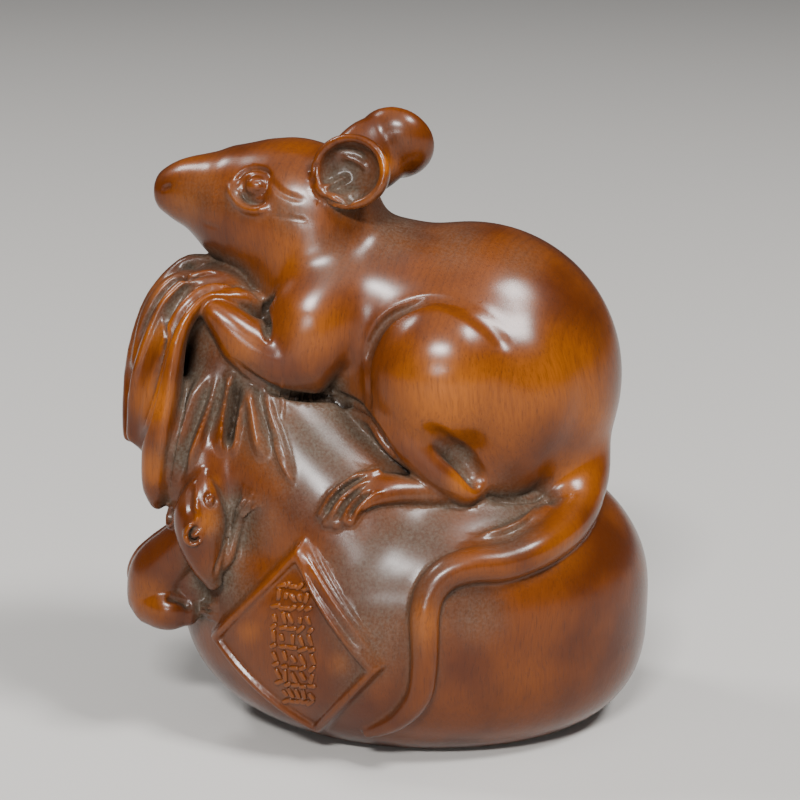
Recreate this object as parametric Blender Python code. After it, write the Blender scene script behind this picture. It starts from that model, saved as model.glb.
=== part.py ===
"""Boxwood carving of a rat lying on a tied money bag, with a young rat climbing the bag's side.

One block of wood, so one solid: the bag with its gathered mouth, the big rat, the young rat and
the diamond panel are blocked out as separate forms, fused by voxel remeshing, smoothed where they
meet, carved by moving the skin along its normals, and cut flat underneath.

Modelled in millimetres and turned to metres at the end. X runs from the rat's nose (-) to its rump
(+), Y points away from the carved front, Z is up. The origin is on the flat underside.
"""

import math

import bmesh
import bpy
import numpy as np
from mathutils import Matrix, Vector
from mathutils.bvhtree import BVHTree

MM = 0.001

# Driving sizes, in millimetres
FIGURE_HEIGHT = 94.6
BAG_LENGTH = 73.4
BAG_DEPTH = 56.0
BAG_HEIGHT = 46.0
EAR_DIAMETER = 12.4
EAR_DEPTH = 4.6
EAR_WALL = 1.5
EYE_DIAMETER = 3.4
TAIL_ROOT = 9.8
TAIL_MIDDLE = 4.7
TAIL_TIP = 1.8
PANEL_DIAGONAL = 32.0
PANEL_BORDER = 1.3
PANEL_STAND = 1.5
PANEL_SINK = 0.9

# The free forms are drawn for a figure 94.6 high and follow FIGURE_HEIGHT
DRAW = FIGURE_HEIGHT / 94.6

# Skin fineness, in millimetres, and the triangles that the solid may have
ROUGH_VOXEL = 0.8
FINE_VOXEL = 0.5
TRIANGLES = 9800

SIDE = (0.0, 1.0, 0.0)


# Solids as (points, faces)

def unit(rows):
    return rows / np.maximum(np.linalg.norm(rows, axis=-1, keepdims=True), 1e-9)


def smooth_rows(rows, steps):
    """Catmull-Rom curve through every row of numbers, with this many steps to a span."""
    rows = np.asarray(rows, float)
    padded = np.vstack([2 * rows[0] - rows[1], rows, 2 * rows[-1] - rows[-2]])
    t = np.linspace(0, 1, steps, endpoint=False)[:, None]
    spans = []
    for a, b, c, d in zip(padded, padded[1:], padded[2:], padded[3:]):
        spans.append(0.5 * (2 * b + (c - a) * t + (2 * a - 5 * b + 4 * c - d) * t**2
                            + (3 * b - a - 3 * c + d) * t**3))
    return np.vstack(spans + [rows[-1:]])


def skin_rings(rings):
    """A closed solid from rings of points that start and end in a pole."""
    sides = rings.shape[1]
    poles = np.array([rings[0].mean(axis=0), rings[-1].mean(axis=0)])
    points = np.vstack([rings.reshape(-1, 3), poles])
    first, last = len(points) - 2, len(points) - 1
    faces = []
    for i in range(len(rings) - 1):
        for j in range(sides):
            k = (j + 1) % sides
            a, b = i * sides, (i + 1) * sides
            faces.append((a + j, a + k, b + k, b + j))
    end = (len(rings) - 1) * sides
    for j in range(sides):
        k = (j + 1) % sides
        faces.append((first, k, j))
        faces.append((last, end + j, end + k))
    return points, faces


def loft(stations, side=SIDE, sides=32, steps=6, bulge=1.0):
    """A solid through (x, y, z, half width along side, half height across it).

    Its ends are round, or flatter with a smaller bulge.
    """
    rows = smooth_rows(np.asarray(stations, float) * DRAW, steps)
    centre, radii = rows[:, :3], np.maximum(rows[:, 3:], 0.1)
    along = unit(np.gradient(centre, axis=0))
    wide = unit(np.asarray(side) - along * (along @ np.asarray(side))[:, None])
    high = np.cross(wide, along)
    turn = np.linspace(0, 2 * math.pi, sides, endpoint=False)
    ring = np.stack([np.cos(turn), np.sin(turn)])

    def circle(i, shrink, shift):
        return (centre[i] + along[i] * shift
                + np.outer(ring[0] * radii[i, 0] * shrink, wide[i])
                + np.outer(ring[1] * radii[i, 1] * shrink, high[i]))

    angles = np.radians([80, 60, 40, 20])
    start = [circle(0, math.cos(a), -radii[0].min() * bulge * math.sin(a)) for a in angles]
    middle = [circle(i, 1.0, 0.0) for i in range(len(centre))]
    end = [circle(-1, math.cos(a), radii[-1].min() * bulge * math.sin(a)) for a in angles[::-1]]
    return skin_rings(np.array(start + middle + end))


def ellipsoid(centre, radii, tilt=0.0):
    """Tilt, in degrees, turns it in the front view."""
    bm = bmesh.new()
    bmesh.ops.create_icosphere(bm, subdivisions=4, radius=1.0)
    turn = Matrix.Rotation(math.radians(tilt), 4, "Y")
    shape = Matrix.Translation(Vector(centre)) @ turn @ Matrix.Diagonal((*radii, 1.0))
    bmesh.ops.transform(bm, matrix=shape, verts=bm.verts)
    points = np.array([v.co[:] for v in bm.verts])
    faces = [tuple(v.index for v in f.verts) for f in bm.faces]
    bm.free()
    return points, faces


def drawn_ellipsoid(centre, radii, tilt=0.0):
    return ellipsoid(np.asarray(centre) * DRAW, np.asarray(radii) * DRAW, tilt)


def cup(centre, facing, upright, radius, stretch, depth, wall):
    """A round bowl with a rolled rim. It opens along facing, and is longer along upright."""
    steps = np.linspace(0, math.pi / 2, 9)
    outer = [(radius * math.sin(a), -depth * math.cos(a)) for a in steps]
    middle = radius - wall / 2
    lip = [(middle + wall / 2 * math.cos(a), wall / 2 * math.sin(a))
           for a in np.linspace(0, math.pi, 7)[1:-1]]
    inner = [((radius - wall) * math.sin(a), -(depth - wall) * math.cos(a)) for a in steps[::-1]]
    profile = np.array(outer + lip + inner)
    out = unit(np.asarray(facing, float))
    up = unit(np.asarray(upright, float) - out * (out @ np.asarray(upright)))
    across = np.cross(up, out)
    turn = np.linspace(0, 2 * math.pi, 40, endpoint=False)
    rings = [np.asarray(centre) + out * h
             + np.outer(np.cos(turn) * r * stretch, up) + np.outer(np.sin(turn) * r, across)
             for r, h in profile]
    return skin_rings(np.array(rings))


def mirrored(solid, middle=0.0):
    points, faces = solid
    return points * (1, -1, 1) + (0, 2 * middle, 0), [tuple(reversed(f)) for f in faces]


# Fusing, carving and measuring the skin

def mesh_object(name, points, faces):
    mesh = bpy.data.meshes.new(name)
    mesh.from_pydata([tuple(p) for p in points], [], faces)
    mesh.update()
    obj = bpy.data.objects.new(name, mesh)
    bpy.context.scene.collection.objects.link(obj)
    return obj


def baked(obj):
    """The object's evaluated mesh as (points, faces). The object goes."""
    graph = bpy.context.evaluated_depsgraph_get()
    mesh = bpy.data.meshes.new_from_object(obj.evaluated_get(graph))
    points = np.empty(len(mesh.vertices) * 3)
    mesh.vertices.foreach_get("co", points)
    faces = [tuple(f.vertices) for f in mesh.polygons]
    bpy.data.meshes.remove(mesh)
    bpy.data.objects.remove(obj)
    return points.reshape(-1, 3), faces


def fuse(solids, fillet, voxel=ROUGH_VOXEL):
    """One skin around solids that overlap, with every edge and join rounded to about fillet."""
    points, faces, start = [], [], 0
    for solid_points, solid_faces in solids:
        points.append(solid_points)
        faces += [tuple(i + start for i in f) for f in solid_faces]
        start += len(solid_points)
    obj = mesh_object("fused", np.vstack(points), faces)
    skin = obj.modifiers.new("skin", "REMESH")
    skin.mode = "VOXEL"
    skin.voxel_size = voxel
    ease = obj.modifiers.new("ease", "SMOOTH")
    ease.factor = 0.5
    ease.iterations = max(1, round(4 * (fillet / voxel) ** 2))
    return baked(obj)


def soften(solid, spots, fillet, voxel=ROUGH_VOXEL):
    """Rounds the skin further inside each (x, y, z, reach) spot, fading to nothing at its edge."""
    points, faces = solid
    obj = mesh_object("softened", points, faces)
    group = obj.vertex_groups.new(name="spots")
    for x, y, z, reach in np.asarray(spots) * DRAW:
        away = np.linalg.norm(points - (x, y, z), axis=1) / reach
        for i in np.nonzero(away < 1)[0]:
            group.add([int(i)], float(1 - away[i] ** 2), "ADD")
    ease = obj.modifiers.new("ease", "SMOOTH")
    ease.factor = 0.5
    ease.iterations = max(1, round(4 * (fillet / voxel) ** 2))
    ease.vertex_group = group.name
    return baked(obj)


def normals_of(points, faces):
    corners = np.array([f[:3] for f in faces])
    a, b, c = (points[corners[:, i]] for i in range(3))
    facing = np.cross(b - a, c - a)
    sums = np.zeros_like(points)
    for i in range(3):
        np.add.at(sums, corners[:, i], facing)
    return unit(sums)


def along_path(points, path):
    """Each point's distance from a path, and how far along it the nearest place lies, 0 to 1."""
    nearest = np.full(len(points), np.inf)
    share = np.zeros(len(points))
    for i, (a, b) in enumerate(zip(path, path[1:])):
        t = np.clip((points - a) @ (b - a) / max((b - a) @ (b - a), 1e-9), 0, 1)
        away = np.linalg.norm(points - a - np.outer(t, b - a), axis=1)
        closer = away < nearest
        nearest[closer] = away[closer]
        share[closer] = (i + t[closer]) / (len(path) - 1)
    return nearest, share


def ramp(values, start, end):
    """Smooth step from 0 at start to 1 at end."""
    t = np.clip((values - start) / (end - start), 0, 1)
    return t * t * (3 - 2 * t)


def carve(solid, strokes):
    """Raises (height > 0) or cuts the skin along each (path, facings, half width, height).

    A stroke fades in over its first quarter and out over its last.
    """
    points, faces = solid
    normals = normals_of(points, faces)
    lift = np.zeros(len(points))
    for path, facings, width, height in strokes:
        low, high = path.min(axis=0) - width, path.max(axis=0) + width
        near = np.nonzero(((points > low) & (points < high)).all(axis=1))[0]
        away, share = along_path(points[near], path)
        kept = (away < width) & (normals[near] @ unit(facings.sum(axis=0)) > 0.1)
        near, away, share = near[kept], away[kept] / width, share[kept]
        fade = ramp(np.minimum(share, 1 - share), 0, 0.25)
        lift[near] += height * fade * np.cos(away * math.pi / 2) ** 2
    return points + normals * lift[:, None], faces


def eased(solid, chosen, rounds):
    """Evens out the chosen points, each pulled half way to the middle of its neighbours."""
    points, faces = solid[0].copy(), solid[1]
    picked = np.zeros(len(points), bool)
    picked[chosen] = True
    ends = np.array([pair for f in faces for pair in zip(f, f[1:] + f[:1])])
    ends = ends[picked[ends[:, 0]]]
    count = np.bincount(ends[:, 0], minlength=len(points))[chosen, None]
    for _ in range(rounds):
        sums = np.zeros_like(points)
        np.add.at(sums, ends[:, 0], points[ends[:, 1]])
        points[chosen] = (points[chosen] + sums[chosen] / count) / 2
    return points, faces


def strokes_on(tree, drawn, mirror=None):
    """Lays strokes on a skin. Each is drawn as (points (x, z) seen from the front, half width,
    height). With a mirror, a plane as (point, normal), each is laid on the far side too."""
    strokes = []
    for route, width, height in drawn:
        hits = [seen(tree, x * DRAW, z * DRAW) for x, z in smooth_rows(route, 6)]
        path, facings = (np.array(rows) for rows in zip(*hits))
        for _ in range(4):
            path[1:-1] = (path[:-2] + 2 * path[1:-1] + path[2:]) / 4
        strokes.append((path, facings, width * DRAW, height * DRAW))
        if mirror is not None:
            across = path - 2 * np.outer((path - mirror[0]) @ mirror[1], mirror[1])
            hits = [tree.find_nearest(Vector(point))[:2] for point in across]
            path, facings = (np.array([hit[i][:] for hit in hits]) for i in range(2))
            strokes.append((path, facings, width * DRAW, height * DRAW))
    return strokes


def tree_of(solid):
    return BVHTree.FromPolygons([Vector(p) for p in solid[0]], solid[1])


def seen(tree, x, z):
    """(point, normal) where a level line from the front meets the surface."""
    hit, normal, _, _ = tree.ray_cast(Vector((x, -200, z)), Vector((0, 1, 0)))
    if hit is None:
        hit, normal, _, _ = tree.find_nearest(Vector((x, -4, z)))
    return np.array(hit), np.array(normal)


def laid(tree, x, z, stand, wide, high):
    """A loft station that stands this far off the surface seen at (x, z) from the front."""
    point, normal = seen(tree, x * DRAW, z * DRAW)
    return (*(point / DRAW + normal * stand), wide, high)


# The money bag

BAG_CENTRE = np.array([4.8, 0.0, 21.5]) * DRAW


def bag_body():
    """A pouch that sags, most at its right end, and the shoulder that narrows to the tie."""
    points, faces = ellipsoid((0, 0, 0), (1, 1, 1))
    around = np.maximum(np.hypot(points[:, 0], points[:, 1]), 1e-6)
    low = points[:, 2] < 0
    sag = ramp(points[:, 0], -0.3, 0.7)[low]
    points[low, :2] *= (around[low] ** (-0.09 - 0.16 * sag))[:, None]
    points[low, 2] = -np.abs(points[low, 2]) ** (0.667 - 0.14 * sag)
    points[:, 0] *= np.where(low & (points[:, 0] < 0), 1 - 0.10 * points[:, 2] ** 2, 1.0)
    points *= (BAG_LENGTH / 2, BAG_DEPTH / 2, BAG_HEIGHT - BAG_CENTRE[2])
    half = BAG_DEPTH / 2 / DRAW
    shoulder = loft([
        (3, 0, 24, 0.93 * half, 20),
        (-6, 0, 33, 0.86 * half, 20.5),
        (-14, 0, 43, 0.70 * half, 16.5),
        (-20, 0, 54, 0.50 * half, 11.5),
        (-24, 0, 65, 0.36 * half, 7.5),
    ])
    under_flap = loft([
        (-22, 0, 62, 11, 6), (-26.5, 0, 50, 15, 8), (-26.5, 0, 39, 17.5, 8), (-24, 0, 30, 18, 7)])
    return fuse([(points + BAG_CENTRE, faces), shoulder, under_flap], 2.6 * DRAW)


# Gathers that run down from the tie
PLEATS = [
    ([(-25.4, 58.4), (-27.9, 54.9), (-29.4, 50.4), (-30.6, 46.6), (-31.2, 42.5), (-31.9, 38.3)],
     1.6, 1.0),
    ([(-25.1, 57.8), (-26.7, 53.4), (-28.1, 49.7), (-29.4, 45.9), (-30.2, 41)], 1.1, -0.8),
    ([(-24.2, 58), (-25.4, 53.8), (-26.9, 50.1), (-28.3, 46.8), (-29.2, 43.2)], 1.3, 0.8),
    ([(-23.6, 58), (-24.6, 54.1), (-25.6, 50.6), (-26.6, 46.6)], 1.3, -0.6),
    ([(-22.3, 59), (-22.8, 55.9), (-23.7, 51.8), (-24.1, 48.4), (-23.9, 45.4)], 1.3, 1.3),
    ([(-21.6, 57.6), (-22.1, 53.4), (-22.7, 49.8), (-22.9, 46.6)], 1.3, -1.6),
    ([(-20.6, 55.4), (-21.3, 51.7), (-22, 48.6), (-22.4, 45.6)], 1.1, 0.7),
    ([(-20.4, 57), (-19.5, 53.8), (-19, 51.4), (-18.4, 48.6), (-17.4, 45.2)], 1.7, 1.4),
    ([(-18.9, 56.4), (-18.1, 53.6), (-17, 50.9), (-15.6, 47.4)], 1.2, -0.6),
    ([(-18, 55.6), (-16.7, 51.9), (-15.3, 48.6), (-12.9, 42)], 1.4, 0.7),
]

FOLDS = {
    "front roll": [
        (-17, -6.5, 66.5, 1.5, 1.5), (-21.6, -8.6, 68.6, 1.9, 1.6), (-25.6, -9.6, 69.2, 2.1, 1.7),
        (-28.4, -10.8, 67.4, 2.3, 1.8), (-30.7, -12, 63.2, 2.5, 1.9),
        (-32.2, -12.8, 54.5, 2.7, 2.4), (-33.4, -13, 47.5, 2.8, 2.6),
        (-34.1, -12.4, 41, 2.6, 2.3), (-34, -11.6, 37.6, 1.6, 1.4)],
    "second roll": [
        (-20, -3, 69.5, 1.1, 1.0), (-25.4, -5, 71, 1.3, 1.1), (-29.4, -6, 70.2, 1.4, 1.1),
        (-33, -7, 66.4, 1.5, 1.2), (-35.6, -8, 60.5, 1.6, 1.2), (-37.2, -8.4, 54, 1.6, 1.2),
        (-38, -8, 46.8, 1.4, 1.1)],
    "ridge": [
        (-20, 1, 69.5, 1.2, 1.0), (-26, 2, 71.8, 1.4, 1.0), (-30.6, 2.4, 71.4, 1.6, 1.0),
        (-35.4, 1, 66.2, 1.7, 1.1), (-38.1, -1, 58.6, 1.7, 1.1), (-39, -2.4, 51, 1.6, 1.1),
        (-39.1, -4, 45.6, 1.3, 1.0)],
    "back ridge": [
        (-22, 6, 69.6, 1.3, 1.1), (-28.6, 7.5, 70, 1.6, 1.2), (-34.2, 8, 63.5, 1.8, 1.3),
        (-37.2, 8, 54, 1.8, 1.3), (-37.8, 7.5, 45, 1.5, 1.1)],
    "back roll": [
        (-18, 8, 67, 1.6, 1.6), (-24.5, 11, 67.6, 2.1, 1.8), (-29.6, 13, 61.5, 2.5, 2.1),
        (-32.4, 14, 51.5, 2.7, 2.4), (-33.4, 13.4, 41.5, 2.3, 2.0)],
}


def gathered_mouth():
    """The cloth beyond the tie, falling forward in rolls."""
    flap = loft([
        (-17, 0, 64, 8, 4.6), (-23, 0, 66.6, 9.5, 4.0), (-29, 0, 66, 10.5, 3.4),
        (-33.2, 0, 59.5, 11.5, 3.0), (-35, 0, 51, 12, 2.8), (-35.6, 0, 45, 11, 2.2)])
    return fuse([flap] + [loft(stations, sides=20) for stations in FOLDS.values()], 0.6 * DRAW)


# The big rat

HEAD_TURN = unit(np.array([0.315, 0.946, 0.07]))


def rat_torso():
    rump = drawn_ellipsoid((13.1, 0, 54.5), (23.6, 19.2, 23.8))
    chest = loft([
        (12, 0, 59, 16, 18.5), (2, 0, 64, 14.5, 15), (-6, 0, 66.5, 12.5, 13.5),
        (-11, 0, 67.5, 10.5, 11)])
    neck = loft([
        (3, 0, 66.2, 10.5, 11.2), (-7.2, 0, 71.2, 10.7, 10.8), (-12.4, 0.3, 78.2, 10.4, 12.6),
        (-19, 1.5, 80.0, 8.8, 11.0), (-22, 2, 80.6, 7.6, 9.6)])
    tail_root = loft([
        (20, 0, 52, 9, 11), (25.4, 0, 49.5, 9, 9), (28.8, -3, 43.8, 6.2, 6.3),
        (29.3, -7.4, 39.4, 4.9, 5.2), (27.8, -12.4, 36.4, 4, 4.2)])
    return fuse([rump, chest, neck, tail_root], 2.6 * DRAW)


def muzzle():
    return loft([
        (-14, 0.6, 79.2, 8.6, 11.2), (-19, 1.5, 80.0, 8.6, 10.9), (-24, 2.6, 81.1, 6.9, 8.5),
        (-28.2, 3.6, 82, 5.2, 6.1), (-31.4, 4.4, 82.2, 4.1, 4.7),
        (-33.6, 5.0, 82.2, 3.3, 3.2)], bulge=0.35)


def haunch():
    """Thigh and shank. The thigh runs into the rump behind and below."""
    thigh = drawn_ellipsoid((9.4, -12.8, 57.4), (12.4, 9.8, 12.4), 15)
    flank = drawn_ellipsoid((17.5, -10.2, 55), (12.5, 10.2, 14))
    shank = loft([
        (2.4, -14, 53, 4.6, 5.6), (3.4, -16, 49.8, 3.9, 4.4), (6.0, -17.2, 46.8, 3.2, 3.5),
        (8.8, -17.8, 44, 2.9, 3.1), (12.2, -17.8, 41.4, 2.6, 2.7)])
    low_flank = drawn_ellipsoid((16.9, -12.2, 47), (8.2, 7, 9))
    return [thigh, flank, low_flank, shank]


def hind_foot(bag):
    """Foot flat on the bag with four toes."""
    over = (0, 0.82, 0.57)
    sole = loft([
        laid(bag, 13.6, 40.4, 0.6, 1.8, 1.9), laid(bag, 8, 40.6, 0.5, 2.0, 1.9),
        laid(bag, 4.2, 41.4, 0.4, 2.2, 1.8), laid(bag, 1.0, 42.0, 0.3, 2.6, 1.7),
        laid(bag, -1.8, 42.1, 0.1, 3.0, 1.4), laid(bag, -3.8, 41.4, -0.3, 3.0, 1.0)], side=over)
    routes = [
        [(-1, 44), (-4.9, 43), (-7.4, 41.3), (-9, 38.8)],
        [(-1.6, 43), (-4.7, 42), (-6.9, 40.1), (-8.2, 37.6)],
        [(-1.6, 42), (-4.1, 41.1), (-5.8, 39.3), (-6.8, 37.4)],
        [(0, 41), (-2.4, 40.8), (-4.0, 39.6), (-5, 38)]]
    toes = []
    for i, route in enumerate(routes):
        girth = (0.75, 0.75, 0.75, 1.0)[i]
        shape = [(0.5, 1.0), (0.55, 1.0), (0.4, 1.0), (0.1, 0.8)]
        toes.append(loft([laid(bag, x, z, stand, girth * share, girth * 1.1)
                          for (x, z), (stand, share) in zip(route, shape)],
                         side=over, sides=14, steps=4))
    return [sole] + toes


def foreleg():
    upper = loft([
        (-4, -7, 70, 5, 8), (-9, -9.6, 65.5, 5.2, 8.2), (-12.4, -10.6, 60.5, 4.8, 6.6)])
    lower = loft([
        (-10.5, -10.4, 59.2, 4.4, 5.4), (-15.6, -11, 59.4, 4.2, 4.9), (-20, -11.2, 62, 3.8, 4.2),
        (-22.8, -11, 64.8, 3.3, 3.2), (-25.1, -10.4, 67, 2.9, 2.2)], bulge=0.8)
    return [upper, lower]


def ear(centre, facing, upright, stretch=1.0):
    return cup(np.asarray(centre) * DRAW, facing, upright, EAR_DIAMETER / 2, stretch, EAR_DEPTH,
               EAR_WALL)


def ears():
    near_facing = np.array([-0.35, -0.90, 0.25])
    far_facing = near_facing - 2 * (near_facing @ HEAD_TURN) * HEAD_TURN
    near = ear((-4.9, -9.4, 87.5), near_facing, (0, 0, 1), 0.9)
    far = ear((1.9, 9.0, 89.1), far_facing, (0, 0, 1))
    near_root = loft([(-6.4, -2.4, 82, 2.6, 3.4), (-4, -2.8, 85, 2.2, 3.4)])
    far_root = loft([
        (-9, 4.4, 82.8, 4, 4.2), (-5, 5.2, 85.2, 3.6, 5.2), (-1.8, 6.2, 87.4, 3.2, 5.7),
        (0.4, 6.8, 88.6, 2.4, 5.4)], bulge=0.6)
    return [near, near_root, fuse([far, far_root], 0.9 * DRAW, FINE_VOXEL)]


def eyes(head):
    """An eyeball on each side, placed on the near side and mirrored across the turned head."""
    near, normal = seen(head, -18.8 * DRAW, 84.9 * DRAW)
    middle = np.array([-18.8, 1.4, 84.9]) * DRAW
    far = near - 2 * ((near - middle) @ HEAD_TURN) * HEAD_TURN
    radius = EYE_DIAMETER / 2
    sunk = 0.35 * radius * normal
    return [ellipsoid(near - sunk, (radius, radius, 0.86 * radius)),
            ellipsoid(far, (radius, radius, 0.86 * radius))]


def tail(seat):
    """Seat is the bag and rump that the tail lies on."""
    free = [(28.6, -3, 44), (29.4, -7.2, 39.6), (28.7, -11.4, 36.8), (26.4, -16.4, 34.8)]
    route = [(21.9, 32.9), (17.2, 31.9), (12.8, 31.8), (9.2, 30.9), (6.9, 28.7), (6, 25.4),
             (6, 21), (5.9, 17), (5.2, 13), (2.8, 9.4), (0.2, 7.2), (-2.2, 5.6)]
    shares = np.linspace(0, 1, len(free) + len(route))
    middle = TAIL_MIDDLE
    radii = np.interp(
        shares, (0, 0.13, 0.27, 0.53, 0.8, 0.9, 1),
        (TAIL_ROOT, 0.8 * TAIL_ROOT, 0.62 * TAIL_ROOT, middle, 0.82 * middle, 0.6 * middle,
         TAIL_TIP)) / 2 / DRAW
    stations = [(*point, r, r) for point, r in zip(free, radii)]
    stations += [laid(seat, x, z, 0.35 * r, r, r) for (x, z), r in zip(route, radii[len(free):])]
    skirt = [laid(seat, 25, 36.2, -0.9, 3, 2.0), laid(seat, 18.5, 34, -0.6, 3.4, 2.0),
             laid(seat, 12, 32.8, -1.2, 2.6, 1.6)]
    over = (0.2, 0.3, 0.9)
    return [loft(stations, side=over, sides=20, steps=8), loft(skirt, side=over)]


# The young rat

def young_rat(bag):
    head = loft([
        (-25.4, -17.8, 27.2, 1.4, 1.4), (-26.2, -18.2, 29.8, 2.6, 2.4),
        (-26.9, -18, 33.2, 3.6, 3.5), (-27.1, -17.4, 36.2, 4, 4),
        (-27.1, -16.8, 38.9, 3.7, 3.7), (-26.9, -16.2, 41.4, 2.6, 2.4),
        (-26.6, -15.6, 43.4, 1.2, 1.1)])
    belly = loft([(-30.4, -9, 30, 4.6, 4), (-29.4, -10, 26, 4.4, 4), (-28.6, -10, 22, 4, 3.6)])
    body = loft([
        (-28.2, -13, 33.6, 3.6, 3.2), (-30.8, -12, 30.4, 4.2, 3.9), (-33.8, -10.4, 26.2, 4.9, 4.8),
        (-34.5, -9.6, 22.4, 4.9, 4.8)], side=(0.5, 0.8, 0.2))
    thigh = loft([
        (-35, -11.4, 22, 3.4, 4), (-32.4, -13.4, 21.2, 3.2, 3.4), (-29.8, -13.6, 20.8, 2.0, 2.2)])
    small_tail = loft([
        (-36.8, -6, 20.4, 1.2, 1.2), (-38.5, -7, 24.4, 1.1, 1.1), (-37.4, -8, 28, 1.0, 1.0),
        (-34.9, -9, 30.8, 0.9, 0.9), (-32, -10.4, 33.4, 0.8, 0.8)], sides=14)
    forearm = loft([
        laid(bag, -25.4, 28, 0.4, 1.0, 1.0), laid(bag, -23.2, 30.6, 0.3, 0.9, 0.9),
        laid(bag, -21.8, 35, 0.3, 0.8, 0.8), laid(bag, -20.9, 37.6, 0.2, 1.0, 0.8),
        laid(bag, -20.2, 39.2, 0.0, 1.2, 0.6)], side=(0.9, -0.3, 0.2), sides=16)
    fingers = []
    for x, z in ((-20.6, 41.3), (-19.4, 40.9), (-18.6, 40.2), (-18.3, 39.2)):
        fingers.append(loft([laid(bag, -20.6, 38.6, 0.1, 0.4, 0.5), laid(bag, x, z, 0, 0.35, 0.4)],
                            sides=10, steps=3))
    foot = loft([
        laid(bag, -28.6, 20.8, 0.4, 1.2, 1.2), laid(bag, -27, 21.6, 0.2, 1.3, 0.8)],
        side=(0.2, 0.2, 0.9), sides=16)
    for z in (20.4, 21.2, 22, 22.8):
        fingers.append(loft([
            laid(bag, -27.4, 0.6 * z + 8.6, 0.2, 0.4, 0.5), laid(bag, -25.2, z, 0.1, 0.35, 0.45)],
            side=(0, 0, 1), sides=10, steps=3))
    near_ear = cup(np.array((-27.9, -21.2, 35.6)) * DRAW, (0.1, -0.98, 0.15), (0, 0, 1),
                   1.6 * DRAW, 1.05, 1.2 * DRAW, 0.6 * DRAW)
    far_ear = cup(np.array((-31.8, -14, 36.2)) * DRAW, (-0.85, -0.4, 0.3), (0, 0, 1),
                  1.7 * DRAW, 1.1, 1.6 * DRAW, 0.7 * DRAW)
    return [head, belly, body, thigh, small_tail, forearm, foot, near_ear, far_ear] + fingers


# The diamond panel

PANEL_MIDDLE = np.array([-11.3, 18.9])
PANEL_CORNERS = np.array([(-26.1, 18.0), (-11.3, 35.8), (1.1, 18.1), (-8.9, 3.7)])
# Width of the slope outside each side, from the one between the left and top corners
PANEL_BEVELS = np.array([0.6, 2.0, 0.6, 0.6])


def panel_frame(bag):
    """The panel's corners on the bag, and the direction that it faces."""
    grow = PANEL_DIAGONAL / (32 * DRAW)
    drawn = (PANEL_MIDDLE + (PANEL_CORNERS - PANEL_MIDDLE) * grow) * DRAW
    corners = np.array([seen(bag, x, z)[0] for x, z in drawn])
    out = unit(np.cross(corners[0] - corners[2], corners[1] - corners[3]))
    return corners, out if out[1] < 0 else -out


def inside_sides(points, corners, out):
    """How far each point lies inside each side of the panel, seen along out."""
    middle = corners.mean(axis=0)
    columns = []
    for a, b in zip(corners, np.roll(corners, -1, axis=0)):
        inward = unit(np.cross(out, b - a))
        columns.append((points - a) @ inward * np.sign((middle - a) @ inward))
    return np.stack(columns, axis=1)


def raise_panel(solid, bag):
    """Lifts the bag's skin into a bordered panel with a sunk field."""
    points, faces = solid
    corners, out = panel_frame(bag)
    inside = inside_sides(points, corners, out)
    facing = normals_of(points, faces) @ out
    near = np.nonzero((inside.min(axis=1) > -1.2) & (facing > 0.3) & (points @ out > 0))[0]
    near = np.array([i for i in near if bag.find_nearest(Vector(points[i]))[3] < 0.9])
    stand = ramp(inside[near], -0.1, PANEL_BEVELS).min(axis=1)
    field = ramp((inside[near] - PANEL_BEVELS).min(axis=1), PANEL_BORDER - 0.5, PANEL_BORDER)
    points = points.copy()
    points[near] += out * (PANEL_STAND * stand - PANEL_SINK * field)[:, None]
    return eased((points, faces), near, 3)


# Whole figure

def flat_bottomed(solid, name):
    """Cut flat at Z = 0, with the middle of its outline at X = Y = 0."""
    points, faces = solid
    middle = (points.min(axis=0) + points.max(axis=0)) / 2
    points = points - (middle[0], middle[1], 0)
    bm = bmesh.new()
    verts = [bm.verts.new(p) for p in points]
    for f in faces:
        bm.faces.new([verts[i] for i in f])
    cut = bmesh.ops.bisect_plane(
        bm, geom=bm.verts[:] + bm.edges[:] + bm.faces[:], dist=1e-5,
        plane_co=(0, 0, 0), plane_no=(0, 0, -1), clear_outer=True)
    rim = [e for e in cut["geom_cut"] if isinstance(e, bmesh.types.BMEdge)]
    bmesh.ops.holes_fill(bm, edges=rim, sides=0)
    mesh = bpy.data.meshes.new(name)
    bm.to_mesh(mesh)
    bm.free()
    obj = bpy.data.objects.new(name, mesh)
    bpy.context.scene.collection.objects.link(obj)
    return obj


def wood():
    material = bpy.data.materials.new("oiled boxwood")
    material.use_nodes = True
    shader = material.node_tree.nodes["Principled BSDF"]
    shader.inputs["Base Color"].default_value = (0.19, 0.055, 0.016, 1.0)
    shader.inputs["Roughness"].default_value = 0.34
    shader.inputs["Metallic"].default_value = 0.0
    return material


# Valleys and crests of the falling cloth
CLOTH_LINES = [
    ([(-19.8, 69.4), (-23, 70.2), (-26, 70.5), (-28.5, 68.8), (-30.6, 66.3), (-32.1, 63.1),
      (-33.4, 58.3), (-34.4, 54), (-35.4, 50.1), (-36.3, 45.6), (-36.6, 42)], 1.5, -1.3),
    ([(-22.4, 69.4), (-26.6, 69.6), (-28.5, 67.6), (-29.6, 65), (-30.6, 61.1), (-31.6, 55.2),
      (-32.6, 50), (-33.4, 44.5), (-34, 39.5)], 1.7, 0.6),
]

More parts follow.
